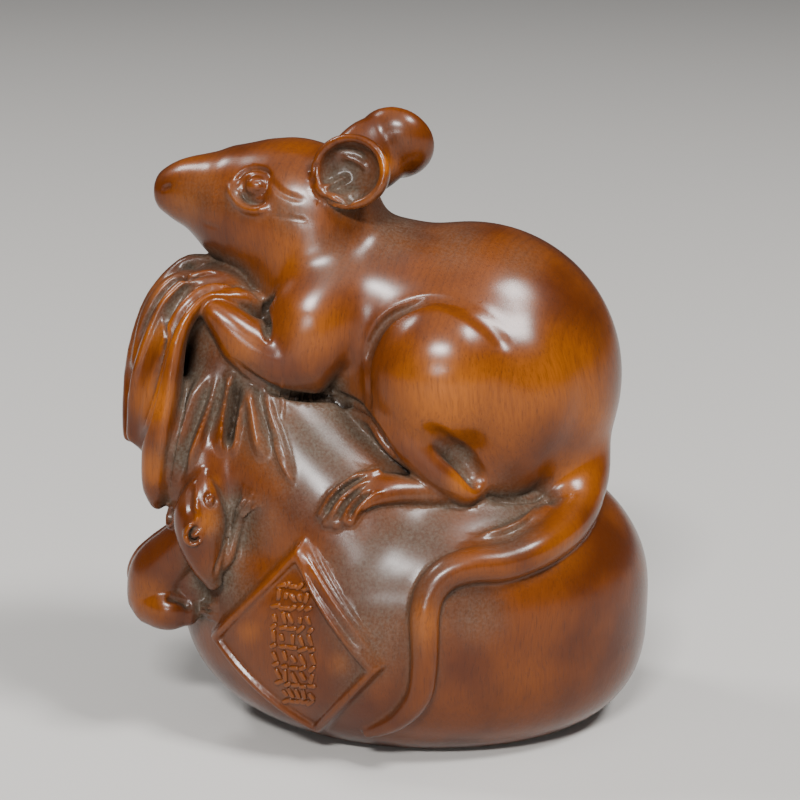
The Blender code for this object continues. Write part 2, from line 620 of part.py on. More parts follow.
# Creases that part the limbs from the body and the body from the bag
BODY_LINES = [
    ([(-1.8, 50.5), (-2.3, 55.4), (-2.2, 60.6), (-0.6, 65), (2.5, 67.8), (7.9, 69.5),
      (14, 68)], 1.5, -0.8),
    ([(5.4, 53.2), (9.4, 48.8), (12.4, 45), (15, 41.4)], 2.4, -1.2),
    ([(8, 52.4), (13.4, 46.8), (18, 43.8), (23, 43)], 4.4, -0.5),
    ([(-15.9, 69.5), (-17, 67.5), (-17.3, 66.2), (-16.9, 63.2)], 1.2, -0.9),
    ([(-22.8, 61.4), (-19.7, 58), (-16, 55.6), (-12.4, 54.4), (-8, 53.7), (-4.7, 53.5),
      (-1.7, 51.6), (0.3, 48.9), (2.8, 45.9)], 1.1, -1.0),
]


def main():
    for old in list(bpy.data.objects):
        bpy.data.objects.remove(old)
    body = bag_body()
    bag = fuse([body, gathered_mouth()], 0.5 * DRAW)
    bag_tree = tree_of(body)
    leg = haunch()
    arm = foreleg()
    rat = fuse([rat_torso(), muzzle()] + leg + [mirrored(p) for p in leg] + arm
               + [mirrored(p) for p in arm], 0.8 * DRAW)
    blends = [(23, y, 52, 12) for y in (-17, 17)] + [(21, y, 63, 10) for y in (-16, 16)]
    blends += [(-2, y, 67, 9) for y in (-11, 11)] + [(-17, y, 79, 9) for y in (-8, 10)]
    rat = soften(rat, blends, 3.0 * DRAW)
    seat = tree_of(fuse([bag, rat], 0.8 * DRAW))
    foot = hind_foot(bag_tree)
    parts = [bag, rat] + tail(seat) + foot + [mirrored(p) for p in foot]
    parts += ears() + eyes(tree_of(rat)) + young_rat(bag_tree)
    whole = fuse(parts, 0.3 * DRAW, FINE_VOXEL)
    tree = tree_of(whole)
    middle = (np.zeros(3), np.array(SIDE))
    lines = PLEATS + CLOTH_LINES + BODY_LINES
    whole = carve(whole, strokes_on(tree, lines, middle))
    whole = raise_panel(whole, bag_tree)
    obj = flat_bottomed(whole, "rat_on_bag")
    thin = obj.modifiers.new("thin", "DECIMATE")
    thin.ratio = TRIANGLES / (2 * len(whole[1]))
    obj.data.materials.append(wood())
    obj.data.transform(Matrix.Scale(MM, 4))


main()
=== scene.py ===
"""Oiled boxwood carving of a rat lying on a tied money bag, with a young rat on the bag's side.

The forms are those of the part's own solid, laid on a finer skin and carved further: eyelids,
ears, toes, gathers and the panel's rows of strokes. They are drawn in millimetres and turned to
metres at the end. X runs from the rat's nose (-) to its rump (+), Y points away from the carved
front, Z is up. The origin is on the flat underside.
"""

import math
from functools import partial

import bmesh
import bpy
import numpy as np
from mathutils import Matrix, Vector
from mathutils.bvhtree import BVHTree


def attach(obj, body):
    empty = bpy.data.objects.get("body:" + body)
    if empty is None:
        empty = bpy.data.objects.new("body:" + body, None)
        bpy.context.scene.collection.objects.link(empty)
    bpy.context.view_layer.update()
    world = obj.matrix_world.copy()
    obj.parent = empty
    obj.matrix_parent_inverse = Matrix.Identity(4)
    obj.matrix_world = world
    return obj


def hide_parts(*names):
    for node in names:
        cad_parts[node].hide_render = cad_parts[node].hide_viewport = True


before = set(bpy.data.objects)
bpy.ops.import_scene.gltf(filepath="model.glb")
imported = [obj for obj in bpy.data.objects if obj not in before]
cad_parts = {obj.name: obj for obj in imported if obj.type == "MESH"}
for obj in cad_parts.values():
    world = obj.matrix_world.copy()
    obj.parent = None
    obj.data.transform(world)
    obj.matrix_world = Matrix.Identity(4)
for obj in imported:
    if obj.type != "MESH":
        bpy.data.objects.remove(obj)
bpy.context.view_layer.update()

MM = 0.001

# Sizes in millimetres, for a figure 94.6 high
BAG_LENGTH = 73.4
BAG_DEPTH = 56.0
BAG_HEIGHT = 46.0
EAR_DIAMETER = 12.4
EAR_DEPTH = 4.6
EAR_WALL = 1.5
EYE_DIAMETER = 3.4
TAIL_ROOT = 9.8
TAIL_MIDDLE = 4.7
TAIL_TIP = 1.8
PANEL_BORDER = 1.3
PANEL_STAND = 1.5
PANEL_SINK = 0.9

# Skin fineness in millimetres, and the triangles that the carving may have
ROUGH_VOXEL = 0.6
FINE_VOXEL = 0.3
TRIANGLES = 192000

SIDE = (0.0, 1.0, 0.0)


# Solids as (points, faces)

def unit(rows):
    return rows / np.maximum(np.linalg.norm(rows, axis=-1, keepdims=True), 1e-9)


def smooth_rows(rows, steps):
    """Catmull-Rom curve through every row of numbers, with this many steps to a span."""
    rows = np.asarray(rows, float)
    padded = np.vstack([2 * rows[0] - rows[1], rows, 2 * rows[-1] - rows[-2]])
    t = np.linspace(0, 1, steps, endpoint=False)[:, None]
    spans = []
    for a, b, c, d in zip(padded, padded[1:], padded[2:], padded[3:]):
        spans.append(0.5 * (2 * b + (c - a) * t + (2 * a - 5 * b + 4 * c - d) * t**2
                            + (3 * b - a - 3 * c + d) * t**3))
    return np.vstack(spans + [rows[-1:]])


def skin_rings(rings):
    """A closed solid from rings of points that start and end in a pole."""
    sides = rings.shape[1]
    poles = np.array([rings[0].mean(axis=0), rings[-1].mean(axis=0)])
    points = np.vstack([rings.reshape(-1, 3), poles])
    first, last = len(points) - 2, len(points) - 1
    faces = []
    for i in range(len(rings) - 1):
        for j in range(sides):
            k = (j + 1) % sides
            a, b = i * sides, (i + 1) * sides
            faces.append((a + j, a + k, b + k, b + j))
    end = (len(rings) - 1) * sides
    for j in range(sides):
        k = (j + 1) % sides
        faces.append((first, k, j))
        faces.append((last, end + j, end + k))
    return points, faces


def loft(stations, side=SIDE, sides=32, steps=6, bulge=1.0):
    """A solid through (x, y, z, half width along side, half height across it).

    Its ends are round, or flatter with a smaller bulge.
    """
    rows = smooth_rows(np.asarray(stations, float), steps)
    centre, radii = rows[:, :3], np.maximum(rows[:, 3:], 0.1)
    along = unit(np.gradient(centre, axis=0))
    wide = unit(np.asarray(side) - along * (along @ np.asarray(side))[:, None])
    high = np.cross(wide, along)
    turn = np.linspace(0, 2 * math.pi, sides, endpoint=False)
    ring = np.stack([np.cos(turn), np.sin(turn)])

    def circle(i, shrink, shift):
        return (centre[i] + along[i] * shift
                + np.outer(ring[0] * radii[i, 0] * shrink, wide[i])
                + np.outer(ring[1] * radii[i, 1] * shrink, high[i]))

    angles = np.radians([80, 60, 40, 20])
    start = [circle(0, math.cos(a), -radii[0].min() * bulge * math.sin(a)) for a in angles]
    middle = [circle(i, 1.0, 0.0) for i in range(len(centre))]
    end = [circle(-1, math.cos(a), radii[-1].min() * bulge * math.sin(a)) for a in angles[::-1]]
    return skin_rings(np.array(start + middle + end))


def ellipsoid(centre, radii, tilt=0.0):
    """Tilt, in degrees, turns it in the front view."""
    bm = bmesh.new()
    bmesh.ops.create_icosphere(bm, subdivisions=4, radius=1.0)
    turn = Matrix.Rotation(math.radians(tilt), 4, "Y")
    shape = Matrix.Translation(Vector(centre)) @ turn @ Matrix.Diagonal((*radii, 1.0))
    bmesh.ops.transform(bm, matrix=shape, verts=bm.verts)
    points = np.array([v.co[:] for v in bm.verts])
    faces = [tuple(v.index for v in f.verts) for f in bm.faces]
    bm.free()
    return points, faces


def cup(centre, facing, radius, stretch, depth, wall):
    """A round bowl with a rolled rim. It opens along facing, and is stretched upwards."""
    steps = np.linspace(0, math.pi / 2, 9)
    outer = [(radius * math.sin(a), -depth * math.cos(a)) for a in steps]
    middle = radius - wall / 2
    lip = [(middle + wall / 2 * math.cos(a), wall / 2 * math.sin(a))
           for a in np.linspace(0, math.pi, 7)[1:-1]]
    inner = [((radius - wall) * math.sin(a), -(depth - wall) * math.cos(a)) for a in steps[::-1]]
    profile = np.array(outer + lip + inner)
    out = unit(np.asarray(facing, float))
    up = unit(np.array([0.0, 0.0, 1.0]) - out * out[2])
    across = np.cross(up, out)
    turn = np.linspace(0, 2 * math.pi, 40, endpoint=False)
    rings = [np.asarray(centre) + out * h
             + np.outer(np.cos(turn) * r * stretch, up) + np.outer(np.sin(turn) * r, across)
             for r, h in profile]
    return skin_rings(np.array(rings))


def mirrored(solid):
    points, faces = solid
    return points * (1, -1, 1), [tuple(reversed(f)) for f in faces]


# Fusing, carving and measuring the skin

def placed(name, data):
    """A new object with this data, in the scene."""
    obj = bpy.data.objects.new(name, data)
    bpy.context.scene.collection.objects.link(obj)
    return obj


def mesh_of(name, points, faces):
    mesh = bpy.data.meshes.new(name)
    mesh.from_pydata([tuple(p) for p in points], [], faces)
    mesh.update()
    return mesh


def rows_of(items, name):
    """One row of three numbers for each item of a mesh."""
    rows = np.empty(len(items) * 3)
    items.foreach_get(name, rows)
    return rows.reshape(-1, 3)


def baked(obj):
    """The object's evaluated mesh as (points, faces). The object goes."""
    graph = bpy.context.evaluated_depsgraph_get()
    mesh = bpy.data.meshes.new_from_object(obj.evaluated_get(graph))
    solid = rows_of(mesh.vertices, "co"), [tuple(f.vertices) for f in mesh.polygons]
    bpy.data.meshes.remove(mesh)
    bpy.data.objects.remove(obj)
    return solid


def fuse(solids, fillet, voxel=ROUGH_VOXEL):
    """One skin around solids that overlap, with every edge and join rounded to about fillet."""
    points, faces, start = [], [], 0
    for solid_points, solid_faces in solids:
        points.append(solid_points)
        faces += [tuple(i + start for i in f) for f in solid_faces]
        start += len(solid_points)
    obj = placed("fused", mesh_of("fused", np.vstack(points), faces))
    skin = obj.modifiers.new("skin", "REMESH")
    skin.mode = "VOXEL"
    skin.voxel_size = voxel
    smoothing(obj, fillet / voxel)
    return baked(obj)


def smoothing(obj, reach):
    """A modifier that rounds the skin to about this many of its own faces."""
    ease = obj.modifiers.new("ease", "SMOOTH")
    ease.factor = 0.5
    ease.iterations = max(1, round(4 * reach ** 2))
    return ease


def soften(solid, spots, fillet):
    """Rounds the skin further inside each (x, y, z, reach) spot, fading to nothing at its edge."""
    points, faces = solid
    obj = placed("softened", mesh_of("softened", points, faces))
    group = obj.vertex_groups.new(name="spots")
    for x, y, z, reach in spots:
        away = np.linalg.norm(points - (x, y, z), axis=1) / reach
        for i in np.nonzero(away < 1)[0]:
            group.add([int(i)], float(1 - away[i] ** 2), "ADD")
    smoothing(obj, fillet / ROUGH_VOXEL).vertex_group = group.name
    return baked(obj)


def normals_of(points, faces):
    corners = np.array([f[:3] for f in faces])
    a, b, c = (points[corners[:, i]] for i in range(3))
    facing = np.cross(b - a, c - a)
    sums = np.zeros_like(points)
    for i in range(3):
        np.add.at(sums, corners[:, i], facing)
    return unit(sums)


def along_path(points, path):
    """Each point's distance from a path, and how far along it the nearest place lies, 0 to 1."""
    nearest = np.full(len(points), np.inf)
    share = np.zeros(len(points))
    for i, (a, b) in enumerate(zip(path, path[1:])):
        t = np.clip((points - a) @ (b - a) / max((b - a) @ (b - a), 1e-9), 0, 1)
        away = np.linalg.norm(points - a - np.outer(t, b - a), axis=1)
        closer = away < nearest
        nearest[closer] = away[closer]
        share[closer] = (i + t[closer]) / (len(path) - 1)
    return nearest, share


def ramp(values, start, end):
    """Smooth step from 0 at start to 1 at end."""
    t = np.clip((values - start) / (end - start), 0, 1)
    return t * t * (3 - 2 * t)


def carve(solid, strokes):
    """Raises (height > 0) or cuts the skin along each (path, facings, half width, height).

    A stroke fades in over its first quarter and out over its last.
    """
    points, faces = solid
    normals = normals_of(points, faces)
    lift = np.zeros(len(points))
    for path, facings, width, height in strokes:
        low, high = path.min(axis=0) - width, path.max(axis=0) + width
        near = np.nonzero(((points > low) & (points < high)).all(axis=1))[0]
        away, share = along_path(points[near], path)
        kept = (away < width) & (normals[near] @ unit(facings.sum(axis=0)) > 0.1)
        near, away, share = near[kept], away[kept] / width, share[kept]
        fade = ramp(np.minimum(share, 1 - share), 0, 0.25)
        lift[near] += height * fade * np.cos(away * math.pi / 2) ** 2
    return points + normals * lift[:, None], faces


def eased(solid, chosen, rounds):
    """Evens out the chosen points, each pulled half way to the middle of its neighbours."""
    points, faces = solid[0].copy(), solid[1]
    picked = np.zeros(len(points), bool)
    picked[chosen] = True
    ends = np.array([pair for f in faces for pair in zip(f, f[1:] + f[:1])])
    ends = ends[picked[ends[:, 0]]]
    count = np.bincount(ends[:, 0], minlength=len(points))[chosen, None]
    for _ in range(rounds):
        sums = np.zeros_like(points)
        np.add.at(sums, ends[:, 0], points[ends[:, 1]])
        points[chosen] = (points[chosen] + sums[chosen] / count) / 2
    return points, faces


def evened(rows):
    """Relaxes a row of points or directions four times. Its ends stay."""
    for _ in range(4):
        rows[1:-1] = (rows[:-2] + 2 * rows[1:-1] + rows[2:]) / 4


def strokes_on(tree, drawn, mirror=None, meet=None, steps=6):
    """Lays strokes on a skin, each drawn as (places, half width, height).

    Places are (x, z) seen from the front, or what meet takes. With a mirror, a plane of symmetry,
    each stroke is laid on the far side too.
    """
    strokes = []
    for route, width, height in drawn:
        hits = [(meet or seen)(tree, a, b) for a, b in smooth_rows(route, steps)]
        path, facings = (np.array(rows) for rows in zip(*hits))
        evened(path)
        if meet:
            evened(facings)
        strokes.append((path, facings, width, height))
        if mirror is not None:
            across = path - 2 * np.outer((path - mirror[0]) @ mirror[1], mirror[1])
            hits = [tree.find_nearest(Vector(point))[:2] for point in across]
            path, facings = (np.array([hit[i][:] for hit in hits]) for i in range(2))
            strokes.append((path, facings, width, height))
    return strokes


def tree_of(solid):
    return BVHTree.FromPolygons([Vector(p) for p in solid[0]], solid[1])


# Level lines start well in front. One that misses takes the skin nearest to a place just in
# front of the middle.
OUT_FRONT = 200
JUST_IN_FRONT = 4


def seen(tree, x, z):
    """(point, normal) where a level line from the front meets the surface."""
    hit, normal, _, _ = tree.ray_cast(Vector((x, -OUT_FRONT, z)), Vector(SIDE))
    if hit is None:
        hit, normal, _, _ = tree.find_nearest(Vector((x, -JUST_IN_FRONT, z)))
    return np.array(hit), np.array(normal)


def laid(tree, x, z, stand, wide, high):
    """A loft station that stands this far off the surface seen at (x, z) from the front."""
    point, normal = seen(tree, x, z)
    return (*(point + normal * stand), wide, high)


# The money bag

BAG_CENTRE = np.array([4.8, 0.0, 21.5])


def bag_body():
    """A pouch that sags, most at its right end, and the shoulder that narrows to the tie."""
    points, faces = ellipsoid((0, 0, 0), (1, 1, 1))
    around = np.maximum(np.hypot(points[:, 0], points[:, 1]), 1e-6)
    # Below its middle it squares out sideways and flattens, most at the right
    low = points[:, 2] < 0
    sag = ramp(points[:, 0], -0.3, 0.7)[low]
    points[low, :2] *= (around[low] ** (-0.09 - 0.16 * sag))[:, None]
    points[low, 2] = -np.abs(points[low, 2]) ** (0.667 - 0.14 * sag)
    points[:, 0] *= np.where(low & (points[:, 0] < 0), 1 - 0.10 * points[:, 2] ** 2, 1.0)
    points *= (BAG_LENGTH / 2, BAG_DEPTH / 2, BAG_HEIGHT - BAG_CENTRE[2])
    half = BAG_DEPTH / 2
    shoulder = loft([
        (3, 0, 24, 0.93 * half, 20),
        (-6, 0, 33, 0.86 * half, 20.5),
        (-14, 0, 43, 0.70 * half, 16.5),
        (-20, 0, 54, 0.50 * half, 11.5),
        (-24, 0, 65, 0.36 * half, 7.5),
    ])
    under_flap = loft([
        (-22, 0, 62, 11, 6), (-26.5, 0, 50, 15, 8), (-26.5, 0, 39, 17.5, 8), (-24, 0, 30, 18, 7)])
    return fuse([(points + BAG_CENTRE, faces), shoulder, under_flap], 2.6)


# Gathers that run down from the tie
PLEATS = [
    ([(-25.4, 58.4), (-27.9, 54.9), (-29.4, 50.4), (-30.6, 46.6), (-31.2, 42.5), (-31.9, 38.3)],
     1.6, 1.0),
    ([(-25.1, 57.8), (-26.7, 53.4), (-28.1, 49.7), (-29.4, 45.9), (-30.2, 41)], 1.1, -0.8),
    ([(-24.2, 58), (-25.4, 53.8), (-26.9, 50.1), (-28.3, 46.8), (-29.2, 43.2)], 1.3, 0.8),
    ([(-23.6, 58), (-24.6, 54.1), (-25.6, 50.6), (-26.6, 46.6)], 1.3, -0.6),
    ([(-22.3, 59), (-22.8, 55.9), (-23.7, 51.8), (-24.1, 48.4), (-23.9, 45.4)], 1.3, 1.3),
    ([(-21.6, 57.6), (-22.1, 53.4), (-22.7, 49.8), (-22.9, 46.6)], 1.3, -1.6),
    ([(-20.6, 55.4), (-21.3, 51.7), (-22, 48.6), (-22.4, 45.6)], 1.1, 0.7),
    ([(-20.4, 57), (-19.5, 53.8), (-19, 51.4), (-18.4, 48.6), (-17.4, 45.2)], 1.7, 1.4),
    ([(-18.9, 56.4), (-18.1, 53.6), (-17, 50.9), (-15.6, 47.4)], 1.2, -0.6),
    ([(-18, 55.6), (-16.7, 51.9), (-15.3, 48.6), (-12.9, 42)], 1.4, 0.7),
]

FOLDS = {
    "front roll": [
        (-17, -6.5, 66.5, 1.5, 1.5), (-21.6, -8.6, 68.6, 1.9, 1.6), (-25.6, -9.6, 69.2, 2.1, 1.7),
        (-28.4, -10.8, 67.4, 2.3, 1.8), (-30.7, -12, 63.2, 2.5, 1.9),
        (-32.2, -12.8, 54.5, 2.7, 2.4), (-33.4, -13, 47.5, 2.8, 2.6),
        (-34.1, -12.4, 41, 2.6, 2.3), (-34, -11.6, 37.6, 1.6, 1.4)],
    "second roll": [
        (-20, -3, 69.5, 1.1, 1.0), (-25.4, -5, 71, 1.3, 1.1), (-29.4, -6, 70.2, 1.4, 1.1),
        (-33, -7, 66.4, 1.5, 1.2), (-35.6, -8, 60.5, 1.6, 1.2), (-37.2, -8.4, 54, 1.6, 1.2),
        (-38, -8, 46.8, 1.4, 1.1)],
    "ridge": [
        (-20, 1, 69.5, 1.2, 1.0), (-26, 2, 71.8, 1.4, 1.0), (-30.6, 2.4, 71.4, 1.6, 1.0),
        (-35.4, 1, 66.2, 1.7, 1.1), (-38.1, -1, 58.6, 1.7, 1.1), (-39, -2.4, 51, 1.6, 1.1),
        (-39.1, -4, 45.6, 1.3, 1.0)],
    "back ridge": [
        (-22, 6, 69.6, 1.3, 1.1), (-28.6, 7.5, 70, 1.6, 1.2), (-34.2, 8, 63.5, 1.8, 1.3),
        (-37.2, 8, 54, 1.8, 1.3), (-37.8, 7.5, 45, 1.5, 1.1)],
    "back roll": [
        (-18, 8, 67, 1.6, 1.6), (-24.5, 11, 67.6, 2.1, 1.8), (-29.6, 13, 61.5, 2.5, 2.1),
        (-32.4, 14, 51.5, 2.7, 2.4), (-33.4, 13.4, 41.5, 2.3, 2.0)],
}


def gathered_mouth():
    """The cloth beyond the tie, falling forward in rolls."""
    flap = loft([
        (-17, 0, 64, 8, 4.6), (-23, 0, 66.6, 9.5, 4.0), (-29, 0, 66, 10.5, 3.4),
        (-33.2, 0, 59.5, 11.5, 3.0), (-35, 0, 51, 12, 2.8), (-35.6, 0, 45, 11, 2.2)])
    return fuse([flap] + [loft(stations, sides=20) for stations in FOLDS.values()], 0.6)


# The big rat

HEAD_TURN = unit(np.array([0.315, 0.946, 0.07]))
HEAD_MIDDLE = np.array([-18.8, 1.4, 84.9])

# Planes of symmetry, each as (point, normal)
HEAD_PLANE = (HEAD_MIDDLE, HEAD_TURN)
BODY_PLANE = (np.zeros(3), np.array(SIDE))


def rat_torso():
    rump = ellipsoid((13.1, 0, 54.5), (23.6, 19.2, 23.8))
    chest = loft([
        (12, 0, 59, 16, 18.5), (2, 0, 64, 14.5, 15), (-6, 0, 66.5, 12.5, 13.5),
        (-11, 0, 67.5, 10.5, 11)])
    neck = loft([
        (3, 0, 66.2, 10.5, 11.2), (-7.2, 0, 71.2, 10.7, 10.8), (-12.4, 0.3, 78.2, 10.4, 12.6),
        (-19, 1.5, 80.0, 8.8, 11.0), (-22, 2, 80.6, 7.6, 9.6)])
    tail_root = loft([
        (20, 0, 52, 9, 11), (25.4, 0, 49.5, 9, 9), (28.8, -3, 43.8, 6.2, 6.3),
        (29.3, -7.4, 39.4, 4.9, 5.2), (27.8, -12.4, 36.4, 4, 4.2)])
    return fuse([rump, chest, neck, tail_root], 2.6)


def muzzle():
    return loft([
        (-14, 0.6, 79.2, 8.6, 11.2), (-19, 1.5, 80.0, 8.6, 10.9), (-24, 2.6, 81.1, 6.9, 8.5),
        (-28.2, 3.6, 82, 5.2, 6.1), (-31.4, 4.4, 82.2, 4.1, 4.7),
        (-33.6, 5.0, 82.2, 3.3, 3.2)], bulge=0.35)


def haunch():
    """Thigh and shank. The thigh runs into the rump behind and below."""
    thigh = ellipsoid((9.4, -12.8, 57.4), (12.4, 9.8, 12.4), 15)
    flank = ellipsoid((17.5, -10.2, 55), (12.5, 10.2, 14))
    shank = loft([
        (2.4, -14, 53, 4.6, 5.6), (3.4, -16, 49.8, 3.9, 4.4), (6.0, -17.2, 46.8, 3.2, 3.5),
        (8.8, -17.8, 44, 2.9, 3.1), (12.2, -17.8, 41.4, 2.6, 2.7)])
    low_flank = ellipsoid((16.9, -12.2, 47), (8.2, 7, 9))
    return [thigh, flank, low_flank, shank]


def hind_foot(bag):
    """Foot flat on the bag with four toes."""
    over = (0, 0.82, 0.57)
    sole = loft([
        laid(bag, 13.6, 40.4, 0.6, 1.8, 1.9), laid(bag, 8, 40.6, 0.5, 2.0, 1.9),
        laid(bag, 4.2, 41.4, 0.4, 2.2, 1.8), laid(bag, 1.0, 42.0, 0.3, 2.6, 1.7),
        laid(bag, -1.8, 42.1, 0.1, 3.0, 1.4), laid(bag, -3.8, 41.4, -0.3, 3.0, 1.0)], side=over)
    routes = [
        [(-1, 44), (-4.9, 43), (-7.4, 41.3), (-9, 38.8)],
        [(-1.6, 43), (-4.7, 42), (-6.9, 40.1), (-8.2, 37.6)],
        [(-1.6, 42), (-4.1, 41.1), (-5.8, 39.3), (-6.8, 37.4)],
        [(0, 41), (-2.4, 40.8), (-4.0, 39.6), (-5, 38)]]
    toes = []
    shape = [(0.5, 1.0), (0.55, 1.0), (0.4, 1.0), (0.1, 0.8)]
    for route, girth in zip(routes, (0.75, 0.75, 0.75, 1.0)):
        toes.append(loft([laid(bag, x, z, stand, girth * share, girth * 1.1)
                          for (x, z), (stand, share) in zip(route, shape)],
                         side=over, sides=14, steps=4))
    return [sole] + toes


def foreleg():
    upper = loft([
        (-4, -7, 70, 5, 8), (-9, -9.6, 65.5, 5.2, 8.2), (-12.4, -10.6, 60.5, 4.8, 6.6)])
    lower = loft([
        (-10.5, -10.4, 59.2, 4.4, 5.4), (-15.6, -11, 59.4, 4.2, 4.9), (-20, -11.2, 62, 3.8, 4.2),
        (-22.8, -11, 64.8, 3.3, 3.2), (-25.1, -10.4, 67, 2.9, 2.2)], bulge=0.8)
    return [upper, lower]


def ear(centre, facing, stretch=1.0):
    return cup(centre, facing, EAR_DIAMETER / 2, stretch, EAR_DEPTH, EAR_WALL)


def ears():
    near_facing = np.array([-0.35, -0.90, 0.25])
    far_facing = near_facing - 2 * (near_facing @ HEAD_TURN) * HEAD_TURN
    near = ear((-4.9, -9.4, 87.5), near_facing, 0.9)
    far = ear((1.9, 9.0, 89.1), far_facing)
    near_root = loft([(-6.4, -2.4, 82, 2.6, 3.4), (-4, -2.8, 85, 2.2, 3.4)])
    far_root = loft([
        (-9, 4.4, 82.8, 4, 4.2), (-5, 5.2, 85.2, 3.6, 5.2), (-1.8, 6.2, 87.4, 3.2, 5.7),
        (0.4, 6.8, 88.6, 2.4, 5.4)], bulge=0.6)
    return [near, near_root, fuse([far, far_root], 0.9, FINE_VOXEL)]


def eyes(head):
    """An eyeball on each side, placed on the near side and mirrored across the turned head."""
    near, normal = seen(head, HEAD_MIDDLE[0], HEAD_MIDDLE[2])
    far = near - 2 * ((near - HEAD_MIDDLE) @ HEAD_TURN) * HEAD_TURN
    radius = EYE_DIAMETER / 2
    sunk = 0.35 * radius * normal
    return [ellipsoid(near - sunk, (radius, radius, 0.86 * radius)),
            ellipsoid(far, (radius, radius, 0.86 * radius))]


def tail(seat):
    """Seat is the bag and rump that the tail lies on."""
    free = [(28.6, -3, 44), (29.4, -7.2, 39.6), (28.7, -11.4, 36.8), (26.4, -16.4, 34.8)]
    route = [(21.9, 32.9), (17.2, 31.9), (12.8, 31.8), (9.2, 30.9), (6.9, 28.7), (6, 25.4),
             (6, 21), (5.9, 17), (5.2, 13), (2.8, 9.4), (0.2, 7.2), (-2.2, 5.6)]
    shares = np.linspace(0, 1, len(free) + len(route))
    middle = TAIL_MIDDLE
    radii = np.interp(
        shares, (0, 0.13, 0.27, 0.53, 0.8, 0.9, 1),
        (TAIL_ROOT, 0.8 * TAIL_ROOT, 0.62 * TAIL_ROOT, middle, 0.82 * middle, 0.6 * middle,
         TAIL_TIP)) / 2
    stations = [(*point, r, r) for point, r in zip(free, radii)]
    stations += [laid(seat, x, z, 0.35 * r, r, r) for (x, z), r in zip(route, radii[len(free):])]
    skirt = [laid(seat, 25, 36.2, -0.9, 3, 2.0), laid(seat, 18.5, 34, -0.6, 3.4, 2.0),
             laid(seat, 12, 32.8, -1.2, 2.6, 1.6)]
    over = (0.2, 0.3, 0.9)
    return [loft(stations, side=over, sides=20, steps=8), loft(skirt, side=over)]


# The young rat

def young_rat(bag):
    head = loft([
        (-25.4, -17.8, 27.2, 1.4, 1.4), (-26.2, -18.2, 29.8, 2.6, 2.4),
        (-26.9, -18, 33.2, 3.6, 3.5), (-27.1, -17.4, 36.2, 4, 4),
        (-27.1, -16.8, 38.9, 3.7, 3.7), (-26.9, -16.2, 41.4, 2.6, 2.4),
        (-26.6, -15.6, 43.4, 1.2, 1.1)])
    belly = loft([(-30.4, -9, 30, 4.6, 4), (-29.4, -10, 26, 4.4, 4), (-28.6, -10, 22, 4, 3.6)])
    body = loft([
        (-28.2, -13, 33.6, 3.6, 3.2), (-30.8, -12, 30.4, 4.2, 3.9), (-33.8, -10.4, 26.2, 4.9, 4.8),
        (-34.5, -9.6, 22.4, 4.9, 4.8)], side=(0.5, 0.8, 0.2))
    thigh = loft([
        (-35, -11.4, 22, 3.4, 4), (-32.4, -13.4, 21.2, 3.2, 3.4), (-29.8, -13.6, 20.8, 2.0, 2.2)])
    small_tail = loft([
        (-36.8, -6, 20.4, 1.2, 1.2), (-38.5, -7, 24.4, 1.1, 1.1), (-37.4, -8, 28, 1.0, 1.0),
        (-34.9, -9, 30.8, 0.9, 0.9), (-32, -10.4, 33.4, 0.8, 0.8)], sides=14)
    forearm = loft([
        laid(bag, -25.4, 28, 0.4, 1.0, 1.0), laid(bag, -23.2, 30.6, 0.3, 0.9, 0.9),
        laid(bag, -21.8, 35, 0.3, 0.8, 0.8), laid(bag, -20.9, 37.6, 0.2, 1.0, 0.8),
        laid(bag, -20.2, 39.2, 0.0, 1.2, 0.6)], side=(0.9, -0.3, 0.2), sides=16)
    fingers = []
    for x, z in ((-20.6, 41.3), (-19.4, 40.9), (-18.6, 40.2), (-18.3, 39.2)):
        fingers.append(loft([laid(bag, -20.6, 38.6, 0.1, 0.4, 0.5), laid(bag, x, z, 0, 0.35, 0.4)],
                            sides=10, steps=3))
    foot = loft([
        laid(bag, -28.6, 20.8, 0.4, 1.2, 1.2), laid(bag, -27, 21.6, 0.2, 1.3, 0.8)],
        side=(0.2, 0.2, 0.9), sides=16)
    for z in (20.4, 21.2, 22, 22.8):
        fingers.append(loft([
            laid(bag, -27.4, 0.6 * z + 8.6, 0.2, 0.4, 0.5), laid(bag, -25.2, z, 0.1, 0.35, 0.45)],
            side=(0, 0, 1), sides=10, steps=3))
    near_ear = cup((-27.9, -21.2, 35.6), (0.1, -0.98, 0.15), 1.6, 1.05, 1.2, 0.6)
    far_ear = cup((-31.8, -14, 36.2), (-0.85, -0.4, 0.3), 1.7, 1.1, 1.6, 0.7)
    return [head, belly, body, thigh, small_tail, forearm, foot, near_ear, far_ear] + fingers


# The diamond panel

# Left, top, right and bottom corners, seen from the front
PANEL_CORNERS = [(-26.1, 18.0), (-11.3, 35.8), (1.1, 18.1), (-8.9, 3.7)]
# Width of the slope outside each side, from the one between the left and top corners
PANEL_BEVELS = np.array([0.6, 2.0, 0.6, 0.6])
# The skin that it moves: so far outside its edge, and no further than this off the bag
PANEL_APRON = 1.2
PANEL_OFF_BAG = 0.9


def panel_frame(bag):
    """The panel's corners on the bag, and the direction that it faces."""
    corners = np.array([seen(bag, x, z)[0] for x, z in PANEL_CORNERS])
    out = unit(np.cross(corners[0] - corners[2], corners[1] - corners[3]))
    return corners, out if out[1] < 0 else -out


def inside_sides(points, corners, out):
    """How far each point lies inside each side of the panel, seen along out."""
    middle = corners.mean(axis=0)
    columns = []
    for a, b in zip(corners, np.roll(corners, -1, axis=0)):
        inward = unit(np.cross(out, b - a))
        columns.append((points - a) @ inward * np.sign((middle - a) @ inward))
    return np.stack(columns, axis=1)


